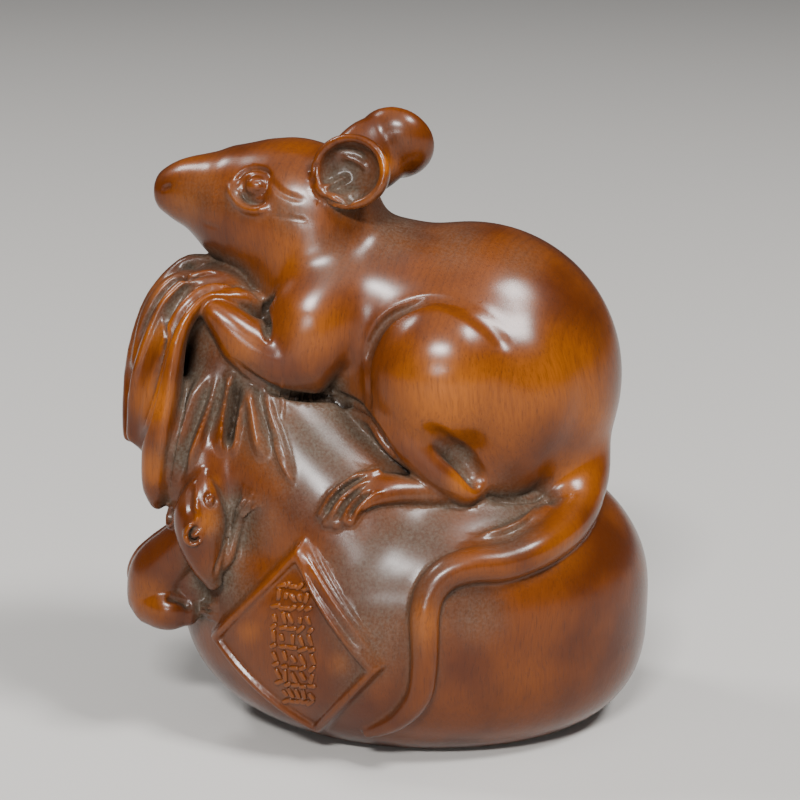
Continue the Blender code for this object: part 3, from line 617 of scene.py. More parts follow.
def raise_panel(solid, bag):
    """Lifts the bag's skin into a bordered panel with a sunk field."""
    points, faces = solid
    corners, out = panel_frame(bag)
    inside = inside_sides(points, corners, out)
    facing = normals_of(points, faces) @ out
    near = (inside.min(axis=1) > -PANEL_APRON) & (facing > 0.3) & (points @ out > 0)
    near = np.array([i for i in np.nonzero(near)[0]
                     if bag.find_nearest(Vector(points[i]))[3] < PANEL_OFF_BAG])
    stand = ramp(inside[near], -0.1, PANEL_BEVELS).min(axis=1)
    field = ramp((inside[near] - PANEL_BEVELS).min(axis=1), PANEL_BORDER - 0.5, PANEL_BORDER)
    points = points.copy()
    points[near] += out * (PANEL_STAND * stand - PANEL_SINK * field)[:, None]
    return eased((points, faces), near, 3)


# Valleys and crests of the falling cloth
CLOTH_LINES = [
    ([(-19.8, 69.4), (-23, 70.2), (-26, 70.5), (-28.5, 68.8), (-30.6, 66.3), (-32.1, 63.1),
      (-33.4, 58.3), (-34.4, 54), (-35.4, 50.1), (-36.3, 45.6), (-36.6, 42)], 1.5, -1.3),
    ([(-22.4, 69.4), (-26.6, 69.6), (-28.5, 67.6), (-29.6, 65), (-30.6, 61.1), (-31.6, 55.2),
      (-32.6, 50), (-33.4, 44.5), (-34, 39.5)], 1.7, 0.6),
]

# Creases that part the limbs from the body and the body from the bag
BODY_LINES = [
    ([(-1.8, 50.5), (-2.3, 55.4), (-2.2, 60.6), (-0.6, 65), (2.5, 67.8), (7.9, 69.5),
      (14, 68)], 1.5, -0.8),
    ([(5.4, 53.2), (9.4, 48.8), (12.4, 45), (15, 41.4)], 2.4, -1.2),
    ([(8, 52.4), (13.4, 46.8), (18, 43.8), (23, 43)], 4.4, -0.5),
    ([(-15.9, 69.5), (-17, 67.5), (-17.3, 66.2), (-16.9, 63.2)], 1.2, -0.9),
    ([(-22.8, 61.4), (-19.7, 58), (-16, 55.6), (-12.4, 54.4), (-8, 53.7), (-4.7, 53.5),
      (-1.7, 51.6), (0.3, 48.9), (2.8, 45.9)], 1.1, -1.0),
]


# The hollow that each eyeball sits in
EYE_SOCKETS = [([(-21.2, 83.5), (-18.9, 84.6), (-16.6, 85.0)], 2.5, -1.0)]


# Sight lines of the photograph's view. Places in it are counted across and down its frame.

FRAME_STEPS = 800
FRAME_WIDTH = 36.0
LENS_LENGTH = 110.0
SIGHT_RISE = math.radians(15)
SIGHT_LENGTH = 376.0
SIGHT_BACK = np.array([0.0, -math.cos(SIGHT_RISE), math.sin(SIGHT_RISE)])
SIGHT_UP = np.array([0.0, math.sin(SIGHT_RISE), math.cos(SIGHT_RISE)])
SIGHT_AIM = np.array([2.46, 0.0, 50.4])
SIGHT_EYE = SIGHT_AIM + SIGHT_BACK * SIGHT_LENGTH
# A line that misses takes the skin nearest to its place on the carved front, this far forward
FRONT_STAND = 14
# Slope of the sight line for each step across or down
SIGHT_STEP = FRAME_WIDTH / FRAME_STEPS / LENS_LENGTH


def met_by_sight(tree, across, down):
    """(point, normal) where the sight line through a place of the view meets the skin."""
    half = FRAME_STEPS // 2
    way = unit(SIGHT_UP * (half - down) * SIGHT_STEP - SIGHT_BACK
               + np.array([(across - half) * SIGHT_STEP, 0.0, 0.0]))
    hit, normal, _, _ = tree.ray_cast(Vector(SIGHT_EYE), Vector(way))
    if hit is None:
        front = SIGHT_EYE + way * (SIGHT_LENGTH - FRONT_STAND)
        hit, normal, _, _ = tree.find_nearest(Vector(front))
    return np.array(hit), np.array(normal)


def place_in_view(points):
    """How far across and down the view each point lies."""
    from_eye = points - SIGHT_EYE
    away = from_eye @ -SIGHT_BACK * SIGHT_STEP
    half = FRAME_STEPS // 2
    return half + from_eye[:, 0] / away, half - (from_eye @ SIGHT_UP) / away


# Finer carving, drawn in that view

# Eyelid, crescent under the eye, its valley, pupil ring, brow, cheek, nostril and mouth
FACE_LINES = [
    ([(234, 187), (238, 178), (247, 170), (258, 168), (267, 172), (272, 180)],
     0.7, -0.55),
    ([(229, 180), (231, 192), (239, 204), (250, 210), (262, 210), (272, 205)], 1.2, 0.7),
    ([(238, 188), (243, 197), (250, 202), (259, 203), (268, 198)], 0.7, -0.5),
    ([(252, 186), (254, 182), (258, 181), (262, 183), (263, 187), (261, 191), (257, 192),
      (253, 190), (252, 186)], 0.3, -0.16),
    ([(269, 177), (276, 188), (288, 196), (308, 201)], 0.9, -0.2),
    ([(268, 216), (286, 217), (311, 221)], 0.5, -0.15),
    ([(161, 191), (166, 187), (172, 186)], 0.7, -0.3),
    ([(202, 222), (210, 226), (220, 228)], 0.6, -0.15),
]

# The near ear's rim is cut thinner in front, below and above, and three folds cross its bowl
EAR_LINES = [
    ([(317, 161), (313, 174), (313, 188)], 1.0, -0.4),
    ([(318, 196), (328, 202), (341, 203), (354, 199), (365, 192)], 1.3, -0.7),
    ([(324, 194), (338, 197), (351, 194), (361, 188)], 1.8, 0.5),
    ([(320, 190), (330, 186), (340, 181), (352, 174)], 1.0, 0.7),
    ([(338, 156), (352, 158), (363, 164), (370, 173)], 1.1, 0.6),
    ([(332, 153), (346, 150), (359, 154), (368, 161)], 0.9, -0.35),
]

# The young rat's brow and curled ear, eye, cheek, fingers, toes and thigh
YOUNG_LINES = [
    ([(199, 481), (197, 493), (197, 505), (198, 515), (196, 521), (190, 526), (186, 533),
      (187, 541), (193, 544), (199, 542), (203, 534), (201, 527)], 0.55, 0.6),
    ([(193, 483), (190, 496), (190, 508), (191, 517)], 0.9, -0.35),
    ([(194, 531), (195, 535), (196, 538)], 1.0, 1.0),
    ([(201, 530), (197, 527), (192, 529), (190, 534), (192, 539), (197, 539), (199, 535),
      (196, 533)], 0.32, -0.35),
    ([(211, 493), (216, 497), (216, 503), (212, 507), (207, 503), (206, 497), (211, 493),
      (216, 497)], 0.45, -0.3),
    ([(211, 497), (211, 500), (211, 503)], 0.6, 0.25),
    ([(217, 490), (226, 511), (227, 529), (222, 552), (217, 567), (214, 579)], 0.7, -0.6),
    ([(235, 514), (240, 506), (246, 496)], 0.35, 0.4),
    ([(238, 516), (244, 508), (251, 498)], 0.35, 0.4),
    ([(240, 519), (248, 512), (257, 505)], 0.35, 0.4),
    ([(228, 514), (229, 509), (231, 503)], 0.35, 0.3),
    ([(199, 603), (206, 604), (214, 605)], 0.35, 0.4),
    ([(199, 608), (206, 608), (214, 608)], 0.35, 0.4),
    ([(198, 612), (206, 613), (215, 614)], 0.35, 0.4),
    ([(197, 616), (205, 617), (212, 619)], 0.35, 0.3),
    ([(164, 599), (175, 598), (186, 603), (190, 611)], 0.9, -0.7),
]

# Laid on both sides: the falling cloth's creases
CLOTH_CREASES = [
    ([(206, 281), (190, 287), (178, 299), (170, 313), (165, 331), (159, 356), (152, 383),
      (146, 410), (141, 435)], 1.3, -1.2),
    ([(230, 275), (217, 273), (200, 275), (186, 278), (177, 279), (169, 285), (160, 296),
      (152, 309), (145, 323), (138, 339), (134, 356), (131, 370)], 0.9, -0.8),
    ([(180, 286), (169, 294), (159, 309), (152, 325), (145, 342), (138, 363), (132, 384),
      (128, 412)], 0.9, 0.4),
    ([(218, 288), (231, 286), (243, 287), (256, 294), (264, 303)], 0.7, -0.4),
    ([(263, 405), (272, 428), (279, 458), (288, 474), (296, 488)], 0.6, 0.35),
    ([(282, 376), (282, 395), (283, 425)], 0.6, 0.3),
]

# Laid on both sides: creases round the limbs, and the toes' valleys and crests
LIMB_LINES = [
    ([(432, 299), (414, 308), (393, 316), (379, 330), (371, 344), (368, 358), (367, 386)],
     1.0, -0.3),
    ([(433, 301), (446, 304), (456, 308), (473, 317), (487, 327), (498, 338), (504, 346),
      (504, 355)], 2.0, -0.25),
    ([(428, 430), (441, 448), (456, 467), (470, 482), (483, 493)], 1.6, -0.35),
    ([(484, 495), (500, 501), (520, 502), (538, 499), (546, 492)], 0.6, -0.5),
    ([(260, 382), (281, 395), (299, 398), (319, 396), (339, 401), (355, 409), (369, 420),
      (379, 437), (390, 452), (407, 468)], 0.9, -1.3),
    ([(276, 296), (266, 310), (268, 320), (267, 335), (270, 345)], 0.8, -0.6),
    ([(322, 522), (329, 506), (340, 492), (355, 481), (372, 473)], 0.6, -0.9),
    ([(336, 524), (341, 510), (350, 498), (364, 487)], 0.6, -0.9),
    ([(348, 524), (352, 510), (361, 499), (374, 490)], 0.6, -0.9),
    ([(319, 522), (325, 506), (337, 490), (352, 478), (369, 469), (385, 465)], 0.5, 0.35),
    ([(329, 528), (334, 512), (344, 498), (358, 486), (374, 478)], 0.5, 0.35),
    ([(343, 526), (347, 511), (356, 499), (368, 489)], 0.5, 0.35),
    ([(352, 520), (360, 506), (371, 496), (387, 490)], 0.7, 0.35),
]

# The ledge beside the tail, and the panel's double border
BAG_LINES = [
    ([(545, 498), (533, 510), (522, 521), (496, 532), (456, 536)], 0.5, 0.3),
    ([(540, 512), (522, 527), (496, 538), (458, 542)], 0.8, -0.3),
    ([(301, 562), (314, 587), (329, 610), (347, 636), (362, 656)], 0.9, -0.5),
    ([(301, 546), (314, 570), (328, 593), (345, 617), (364, 642), (381, 664)], 0.8, 0.45),
    ([(310, 539), (321, 561), (333, 583), (347, 607), (362, 628), (377, 645), (391, 661)],
     0.6, 0.3),
]


def fine_carved(solid):
    """Cuts what is finer than the part's own solid shows."""
    tree = tree_of(solid)
    strokes = []
    for lines, mirror in ((FACE_LINES, HEAD_PLANE), (EAR_LINES, None),
                          (LIMB_LINES + CLOTH_CREASES, BODY_PLANE),
                          (YOUNG_LINES + BAG_LINES, None)):
        strokes += strokes_on(tree, lines, mirror, met_by_sight, 5)
    return carve(solid, strokes)


def fuller(solid, times):
    """The solid stretched about its own middle, by so many times along each axis."""
    points, faces = solid
    middle = points.mean(axis=0)
    return middle + np.array(times) * (points - middle), faces


def figure():
    """The whole carving as one skin, as drawn, and the bag's own skin under it."""
    body = bag_body()
    between_folds = loft([
        (-25, -1.8, 69.4, 2, 1.6), (-31, -2, 69.2, 2.4, 1.8), (-35, -3, 64.8, 2.4, 1.7),
        (-37.3, -4, 57, 2.2, 1.2)], sides=20)
    bag = fuse([body, gathered_mouth(), between_folds], 0.5)
    bag_tree = tree_of(body)
    leg = haunch()
    arm = foreleg()
    rat = fuse([rat_torso(), muzzle()] + leg + [mirrored(p) for p in leg] + arm
               + [mirrored(p) for p in arm], 0.8)
    # Where the haunches, shoulders, cheeks and neck run into the body
    blends = [(23, y, 52, 12) for y in (-17, 17)] + [(21, y, 63, 10) for y in (-16, 16)]
    blends += [(-2, y, 67, 9) for y in (-11, 11)] + [(-17, y, 79, 9) for y in (-8, 10)]
    blends += [(-9, y, 72.4, 7) for y in (-10, 10)]
    rat = soften(rat, blends, 3.0)
    head = tree_of(rat)
    rat = carve(rat, strokes_on(head, EYE_SOCKETS, HEAD_PLANE))
    seat = tree_of(fuse([bag, rat], 0.8))
    foot = hind_foot(bag_tree)
    parts = [bag, rat] + tail(seat) + foot + [mirrored(p) for p in foot]
    parts += ears() + [fuller(ball, (1.08, 0.8, 1.08)) for ball in eyes(head)]
    parts += young_rat(bag_tree)
    whole = fuse(parts, 0.3, FINE_VOXEL)
    lines = PLEATS + CLOTH_LINES + BODY_LINES
    whole = carve(whole, strokes_on(tree_of(whole), lines, BODY_PLANE))
    whole = raise_panel(whole, bag_tree)
    return fine_carved(whole), bag_tree


# From skin to finished piece

def flat_bottomed(solid, name):
    """Cut flat at Z = 0, with the middle of its outline at X = Y = 0. Also how far it moved."""
    points, faces = solid
    middle = (points.min(axis=0) + points.max(axis=0)) / 2
    middle[2] = 0
    bm = bmesh.new()
    verts = [bm.verts.new(p) for p in points - middle]
    for f in faces:
        bm.faces.new([verts[i] for i in f])
    cut = bmesh.ops.bisect_plane(
        bm, geom=bm.verts[:] + bm.edges[:] + bm.faces[:], dist=1e-5,
        plane_co=(0, 0, 0), plane_no=(0, 0, -1), clear_outer=True)
    rim = [e for e in cut["geom_cut"] if isinstance(e, bmesh.types.BMEdge)]
    bmesh.ops.holes_fill(bm, edges=rim, sides=0)
    mesh = bpy.data.meshes.new(name)
    bm.to_mesh(mesh)
    bm.free()
    return placed(name, mesh), middle


def as_plain_mesh(obj):
    """Turns what the object's modifiers make into its own mesh, and takes the modifiers off."""
    graph = bpy.context.evaluated_depsgraph_get()
    old = obj.data
    obj.data = bpy.data.meshes.new_from_object(obj.evaluated_get(graph))
    obj.modifiers.clear()
    bpy.data.meshes.remove(old)


def thinned(obj, triangles):
    obj.data.calc_loop_triangles()
    thin = obj.modifiers.new("thin", "DECIMATE")
    thin.ratio = min(1.0, triangles / len(obj.data.loop_triangles))
    as_plain_mesh(obj)


def store(mesh, name, values):
    """Keeps one number for each point, for the material to read."""
    attribute = mesh.attributes.new(name, "FLOAT", "POINT")
    attribute.data.foreach_set("value", np.asarray(values, np.float32))


# What handling and age left on the surface

def links_of(mesh):
    """Every edge of the mesh as two rows of point numbers, once from each end."""
    ends = np.empty(len(mesh.edges) * 2, int)
    mesh.edges.foreach_get("vertices", ends)
    ends = ends.reshape(-1, 2)
    return np.vstack([ends, ends[:, ::-1]])


def spread(values, links, rounds):
    """Evens values out over neighbouring points."""
    values = np.asarray(values, float)
    count = np.maximum(np.bincount(links[:, 0], minlength=len(values)), 1)
    columns = values.reshape(len(values), -1).T.copy()
    for _ in range(rounds):
        for column in columns:
            sums = np.bincount(links[:, 0], column[links[:, 1]], minlength=len(column))
            column += 0.6 * (sums / count - column)
    return columns.T.reshape(values.shape)


GOLDEN_ANGLE = 2.39996
SHELTER_REACH = 9
SHELTER_RAYS = 14


def shelter_of(points, normals, tree):
    """How much of the sky over each point is shut off by wood within reach, 0 to 1."""
    turns = np.arange(SHELTER_RAYS) * GOLDEN_ANGLE
    rise = np.sqrt((np.arange(SHELTER_RAYS) + 0.5) / SHELTER_RAYS)
    spokes = np.stack([rise * np.cos(turns), rise * np.sin(turns), np.sqrt(1 - rise**2)], axis=1)
    across = unit(np.cross(normals, (0.31, 0.84, 0.44)))
    up = np.cross(normals, across)
    shut = np.zeros(len(points))
    starts = points + normals * 0.12
    for x, y, z in spokes:
        ways = across * x + up * y + normals * z
        for i, (start, way) in enumerate(zip(starts.tolist(), ways.tolist())):
            away = tree.ray_cast(start, way, SHELTER_REACH)[3]
            if away is not None:
                shut[i] += 1 - 0.6 * away / SHELTER_REACH
    return shut / SHELTER_RAYS


def painted(points, spots):
    """Soft round spots of (across, down, reach, strength) in the view, through to the back."""
    across, down = place_in_view(points)
    amount = np.zeros(len(points))
    for x, y, reach, strength in spots:
        away = np.hypot(across - x, down - y) / reach
        amount = 1 - (1 - amount) * (1 - strength * ramp(1 - away, 0, 0.9))
    return amount


# Grey film of old wax and dust, partly painted sheen: the spots on the cheek, muzzle, neck and
# back paint the grey sheen of highlights there
FILM_AND_SHEEN_SPOTS = [
    (320, 440, 80, 0.85), (270, 430, 60, 0.6), (390, 560, 80, 0.7), (430, 525, 60, 0.6),
    (505, 522, 50, 0.75), (375, 630, 70, 0.6), (345, 560, 50, 0.3), (475, 612, 50, 0.5),
    (240, 525, 50, 0.7), (228, 585, 40, 0.6), (300, 500, 50, 0.3), (200, 400, 45, 0.5),
    (238, 390, 45, 0.6), (178, 455, 34, 0.6), (185, 275, 38, 0.35), (160, 325, 30, 0.25),
    (148, 300, 30, 0.3), (395, 212, 50, 0.5), (375, 248, 40, 0.25), (290, 212, 34, 0.5),
    (240, 200, 26, 0.4), (200, 196, 40, 0.3), (352, 480, 28, 0.4), (330, 515, 24, 0.4),
    (505, 482, 34, 0.25), (345, 184, 34, 0.75), (398, 130, 30, 0.2), (187, 498, 18, 0.2),
    (205, 610, 20, 0.5), (195, 585, 14, 0.5), (350, 680, 30, 0.25), (330, 255, 45, 0.35),
    (400, 235, 40, 0.35), (455, 240, 50, 0.4), (520, 262, 40, 0.3), (300, 640, 22, 0.35),
    (288, 690, 20, 0.3),
]

# Places that hands have worn to a brighter, yellower polish
WORN_SPOTS = [
    (155, 400, 34, 0.7), (160, 335, 26, 0.6), (150, 468, 28, 0.6), (165, 290, 24, 0.4),
    (140, 350, 20, 0.3), (425, 625, 34, 0.6), (575, 480, 44, 0.5), (560, 548, 44, 0.4),
    (440, 400, 70, 0.8), (505, 410, 70, 0.45), (565, 370, 70, 0.45), (604, 420, 40, 0.5),
    (462, 482, 24, 0.7), (310, 330, 44, 0.35), (240, 350, 34, 0.4), (290, 185, 34, 0.25),
    (180, 206, 30, 0.35), (386, 165, 14, 0.7), (208, 522, 20, 0.6), (150, 600, 34, 0.5),
    (290, 250, 34, 0.3), (200, 160, 40, 0.2), (215, 485, 14, 0.4), (248, 632, 18, 0.6),
    (340, 664, 18, 0.5), (520, 690, 60, 0.2),
]


def age(obj, middle, tree):
    """Stores where film has gathered, partly as painted sheen, where hands have worn, and how
    hollow each place is, for painted shade in the deepest hollows.
    """
    mesh = obj.data
    points, normals = (rows_of(mesh.vertices, name) for name in ("co", "normal"))
    links = links_of(mesh)
    drawn = points + middle
    shelter = spread(shelter_of(drawn, normals, tree), links, 4)
    fine = ((spread(points, links, 5) - points) * normals).sum(axis=1)
    broad = ((spread(points, links, 40) - points) * normals).sum(axis=1)
    hollow = spread(ramp(fine, 0.02, 0.14) + ramp(broad, 0.15, 0.9), links, 2)
    crest = spread(ramp(-fine, 0.03, 0.16) + 0.5 * ramp(-broad, 0.2, 0.8), links, 2)
    # Film, and the painted sheen of the spots on the cheek, muzzle, neck and back
    film_and_sheen = painted(drawn, FILM_AND_SHEEN_SPOTS) + 0.75 * ramp(shelter, 0.1, 0.5) + 0.25 * hollow
    worn = painted(drawn, WORN_SPOTS) + 0.25 * crest
    store(mesh, "film_and_sheen", np.clip(film_and_sheen - 0.25 * crest, 0, 1))
    store(mesh, "worn", np.clip(worn - 0.5 * hollow - ramp(shelter, 0.15, 0.45), 0, 1))
    # Shelter becomes painted shade in the finish
    store(mesh, "shelter", np.clip(shelter, 0, 1))


# Finishes

def colour(code):
    """Linear colour from an sRGB hex value."""
    parts = [int(code[i:i + 2], 16) / 255 for i in (1, 3, 5)]
    return (*[c / 12.92 if c <= 0.04045 else ((c + 0.055) / 1.055) ** 2.4 for c in parts], 1.0)


MATH = "ShaderNodeMath"
VECTOR_MATH = "ShaderNodeVectorMath"


def add(tree, kind, inputs=(), **settings):
    """Adds a node. Inputs are values in order, or a dictionary by name or number.

    A value that is a socket is linked from, and one that is a node from its first output.
    """
    node = tree.nodes.new(kind)
    for name, value in settings.items():
        setattr(node, name, value)
    for name, value in inputs.items() if isinstance(inputs, dict) else enumerate(inputs):
        if isinstance(value, bpy.types.Node):
            value = value.outputs[0]
        if isinstance(value, bpy.types.NodeSocket):
            tree.links.new(value, node.inputs[name])
        else:
            node.inputs[name].default_value = value
    return node


RING_SPACING = 1.3
TRUNK_HEART = (-75, 42, 0)


def oiled_boxwood():
    """Boxwood, carved, oiled and polished by hand, then long handled.

    To the eye: close, even, orange-brown wood with a soft wax gloss, thin darker growth rings
    1.3 mm apart, short upright fibre flecks, and a dull grey-brown film where fingers don't reach.
    The film also paints a grey sheen on some upper surfaces, and painted shade darkens the bag's
    bottom and turns the deepest hollows near black.
    """
    material = bpy.data.materials.new("oiled hand-polished boxwood")
    material.use_nodes = True
    tree = material.node_tree
    tree.nodes.clear()
    put = partial(add, tree)
    place = put("ShaderNodeTexCoord").outputs["Object"]
    mm = put(VECTOR_MATH, [place, (1000, 1000, 1000)], operation="MULTIPLY")
    height = put("ShaderNodeSeparateXYZ", [mm]).outputs["Z"]
    film_and_sheen, worn, shelter = (
        put("ShaderNodeAttribute", attribute_name=name).outputs["Fac"]
        for name in ("film_and_sheen", "worn", "shelter"))

    # Trunk upright, its heart 86 mm off to the left and behind, so rings cross X. They wander
    # up to 9 mm over 28.6 mm.
    sway = put("ShaderNodeTexNoise", {"Vector": mm, "Scale": 1 / 28.6, "Detail": 2.0})
    bent = put(VECTOR_MATH, [sway.outputs["Color"], (9, 9, 0), mm], operation="MULTIPLY_ADD")
    off = put(VECTOR_MATH, [bent, TRUNK_HEART], operation="SUBTRACT")
    flat = put(VECTOR_MATH, [off, (1, 1, 0.10)], operation="MULTIPLY")
    from_heart = put(VECTOR_MATH, [flat], operation="LENGTH").outputs["Value"]
    rings = put(MATH, [from_heart, RING_SPACING], operation="DIVIDE")
    in_ring = put(MATH, [rings], operation="FRACT")

    # Patterns by their size in millimetres: upright fibres about 5 mm long and dark flecks half as
    # large, clouds of colour, stretches of clear rings, the film's mottling, and tool marks
    along = put(VECTOR_MATH, [bent, (1, 1, 0.08)], operation="MULTIPLY")
    noise = {
        name: put("ShaderNodeTexNoise", {
            "Vector": vector, "Scale": 1 / size, "Detail": detail, "Roughness": roughness})
        for name, vector, size, detail, roughness in (
            ("fibre", along, 0.385, 3.0, 0.6), ("fleck", along, 0.182, 1.0, 0.5),
            ("cloud", mm, 12.5, 3.0, 0.5), ("clear", mm, 14.3, 2.0, 0.5),
            ("mottle", mm, 1.67, 4.0, 0.6), ("speck", mm, 0.417, 2.0, 0.6),
            ("facets", mm, 2.86, 2.0, 0.5))}

    # Shares that rise smoothly from 0 to 1 as their source goes from one value to another
    share = {
        name: put("ShaderNodeMapRange", {"Value": source, "From Min": low, "From Max": high},
                  interpolation_type="SMOOTHSTEP")
        for name, source, low, high in (
            ("darkening", in_ring, 0.5, 0.9), ("before the next", in_ring, 1.0, 0.93),
            ("clear", noise["clear"], 0.35, 0.65), ("cloud", noise["cloud"], 0.35, 0.65),
            ("fibre", noise["fibre"], 0.40, 0.68), ("fleck", noise["fleck"], 0.60, 0.72),
            ("speck", noise["speck"], 0.25, 0.75), ("rat", height, 42.0, 60.0),
            # Painted shade: near black where shelter is high, in the deepest hollows
            # Painted shade: the wood darkens towards the bag's bottom
            ("painted shade low on the bag", height, 40.0, 12.0), ("painted shade in hollows", shelter, 0.42, 0.85))}

    # Rings show on the rat, above 50 mm, and hardly on the bag
    late = put(MATH, [share["darkening"], share["before the next"]], operation="MULTIPLY")
    clear = put(MATH, [share["clear"], 0.8, 0.2], operation="MULTIPLY_ADD")
    ring_line = put(MATH, [late, clear], operation="MULTIPLY")
    on_rat = put(MATH, [share["rat"], 0.13, 0.03], operation="MULTIPLY_ADD")

    dull = put("ShaderNodeMix", {
        0: share["speck"], 6: colour("#41352a"), 7: colour("#544e45")}, data_type="RGBA")
    mottled = put(MATH, [noise["mottle"], 0.7, 0.65], operation="MULTIPLY_ADD")
    cover = put(MATH, [film_and_sheen, mottled], operation="MULTIPLY", use_clamp=True)

    # Colours over the darker wood, each as (where, how strong, colour): paler clouds, handled
    # wood, painted shade low on the bag, fibres, rings, flecks, film with its painted sheen, and
    # near-black painted shade in the deepest hollows
    look = colour("#481e03")
    for where, strength, over in (
            (share["cloud"], 1.0, colour("#643005")), (worn, 0.85, colour("#985207")),
            (share["painted shade low on the bag"], 0.35, colour("#3a1602")),
            (share["fibre"], 0.22, colour("#3c1603")), (ring_line, on_rat, colour("#2c1003")),
            (share["fleck"], 0.25, colour("#200c03")), (cover, 0.85, dull.outputs[2]),
            (share["painted shade in hollows"], 0.92, colour("#0e0805"))):
        amount = put(MATH, [where, strength], operation="MULTIPLY")
        look = put("ShaderNodeMix", {0: amount, 6: look, 7: over}, data_type="RGBA").outputs[2]

    rough = put(MATH, [cover, 0.08, 0.42], operation="MULTIPLY_ADD")
    rough = put(MATH, [noise["mottle"], 0.06, rough], operation="MULTIPLY_ADD")
    gloss = put(MATH, [cover, -0.60, 0.90], operation="MULTIPLY_ADD")

    # Relief of the pores and tool marks, up to about 0.1 mm
    pores = put(MATH, [share["fleck"], -0.5], operation="MULTIPLY")
    grain = put(MATH, [noise["fibre"], 0.6, pores], operation="MULTIPLY_ADD")
    relief = put(MATH, [noise["facets"], 2.2, grain], operation="MULTIPLY_ADD")
    bump = put("ShaderNodeBump", {"Height": relief, "Distance": 0.06 * MM, "Strength": 1.0})

    shader = put("ShaderNodeBsdfPrincipled", {
        "Base Color": look, "Roughness": rough, "Normal": bump, "IOR": 1.5,
        "Specular IOR Level": 0.04, "Coat Weight": gloss, "Coat Roughness": 0.25,
        "Coat IOR": 1.42})
    put("ShaderNodeOutputMaterial", {"Surface": shader})
    return material


# Rows of shallow strokes on the panel

STROKE_ROWS = 13
STROKES_IN_ROW = 5
ROW_SPACING = 1.5
STROKE_SPACING = 1.55
STROKE_LENGTH = 1.9
STROKE_WIDTH = 0.78
STROKE_RELIEF = 0.36
STROKE_JITTER = 0.2 * MM
# Turn of every other stroke, and how far any of them leans either way, in radians
STROKE_TURN = 1.35
STROKE_LEAN = 0.5
# How far the column stands to the left of the panel's middle, and where the strokes drop from
COLUMN_SHIFT = 1.2
DROP_HEIGHT = 6


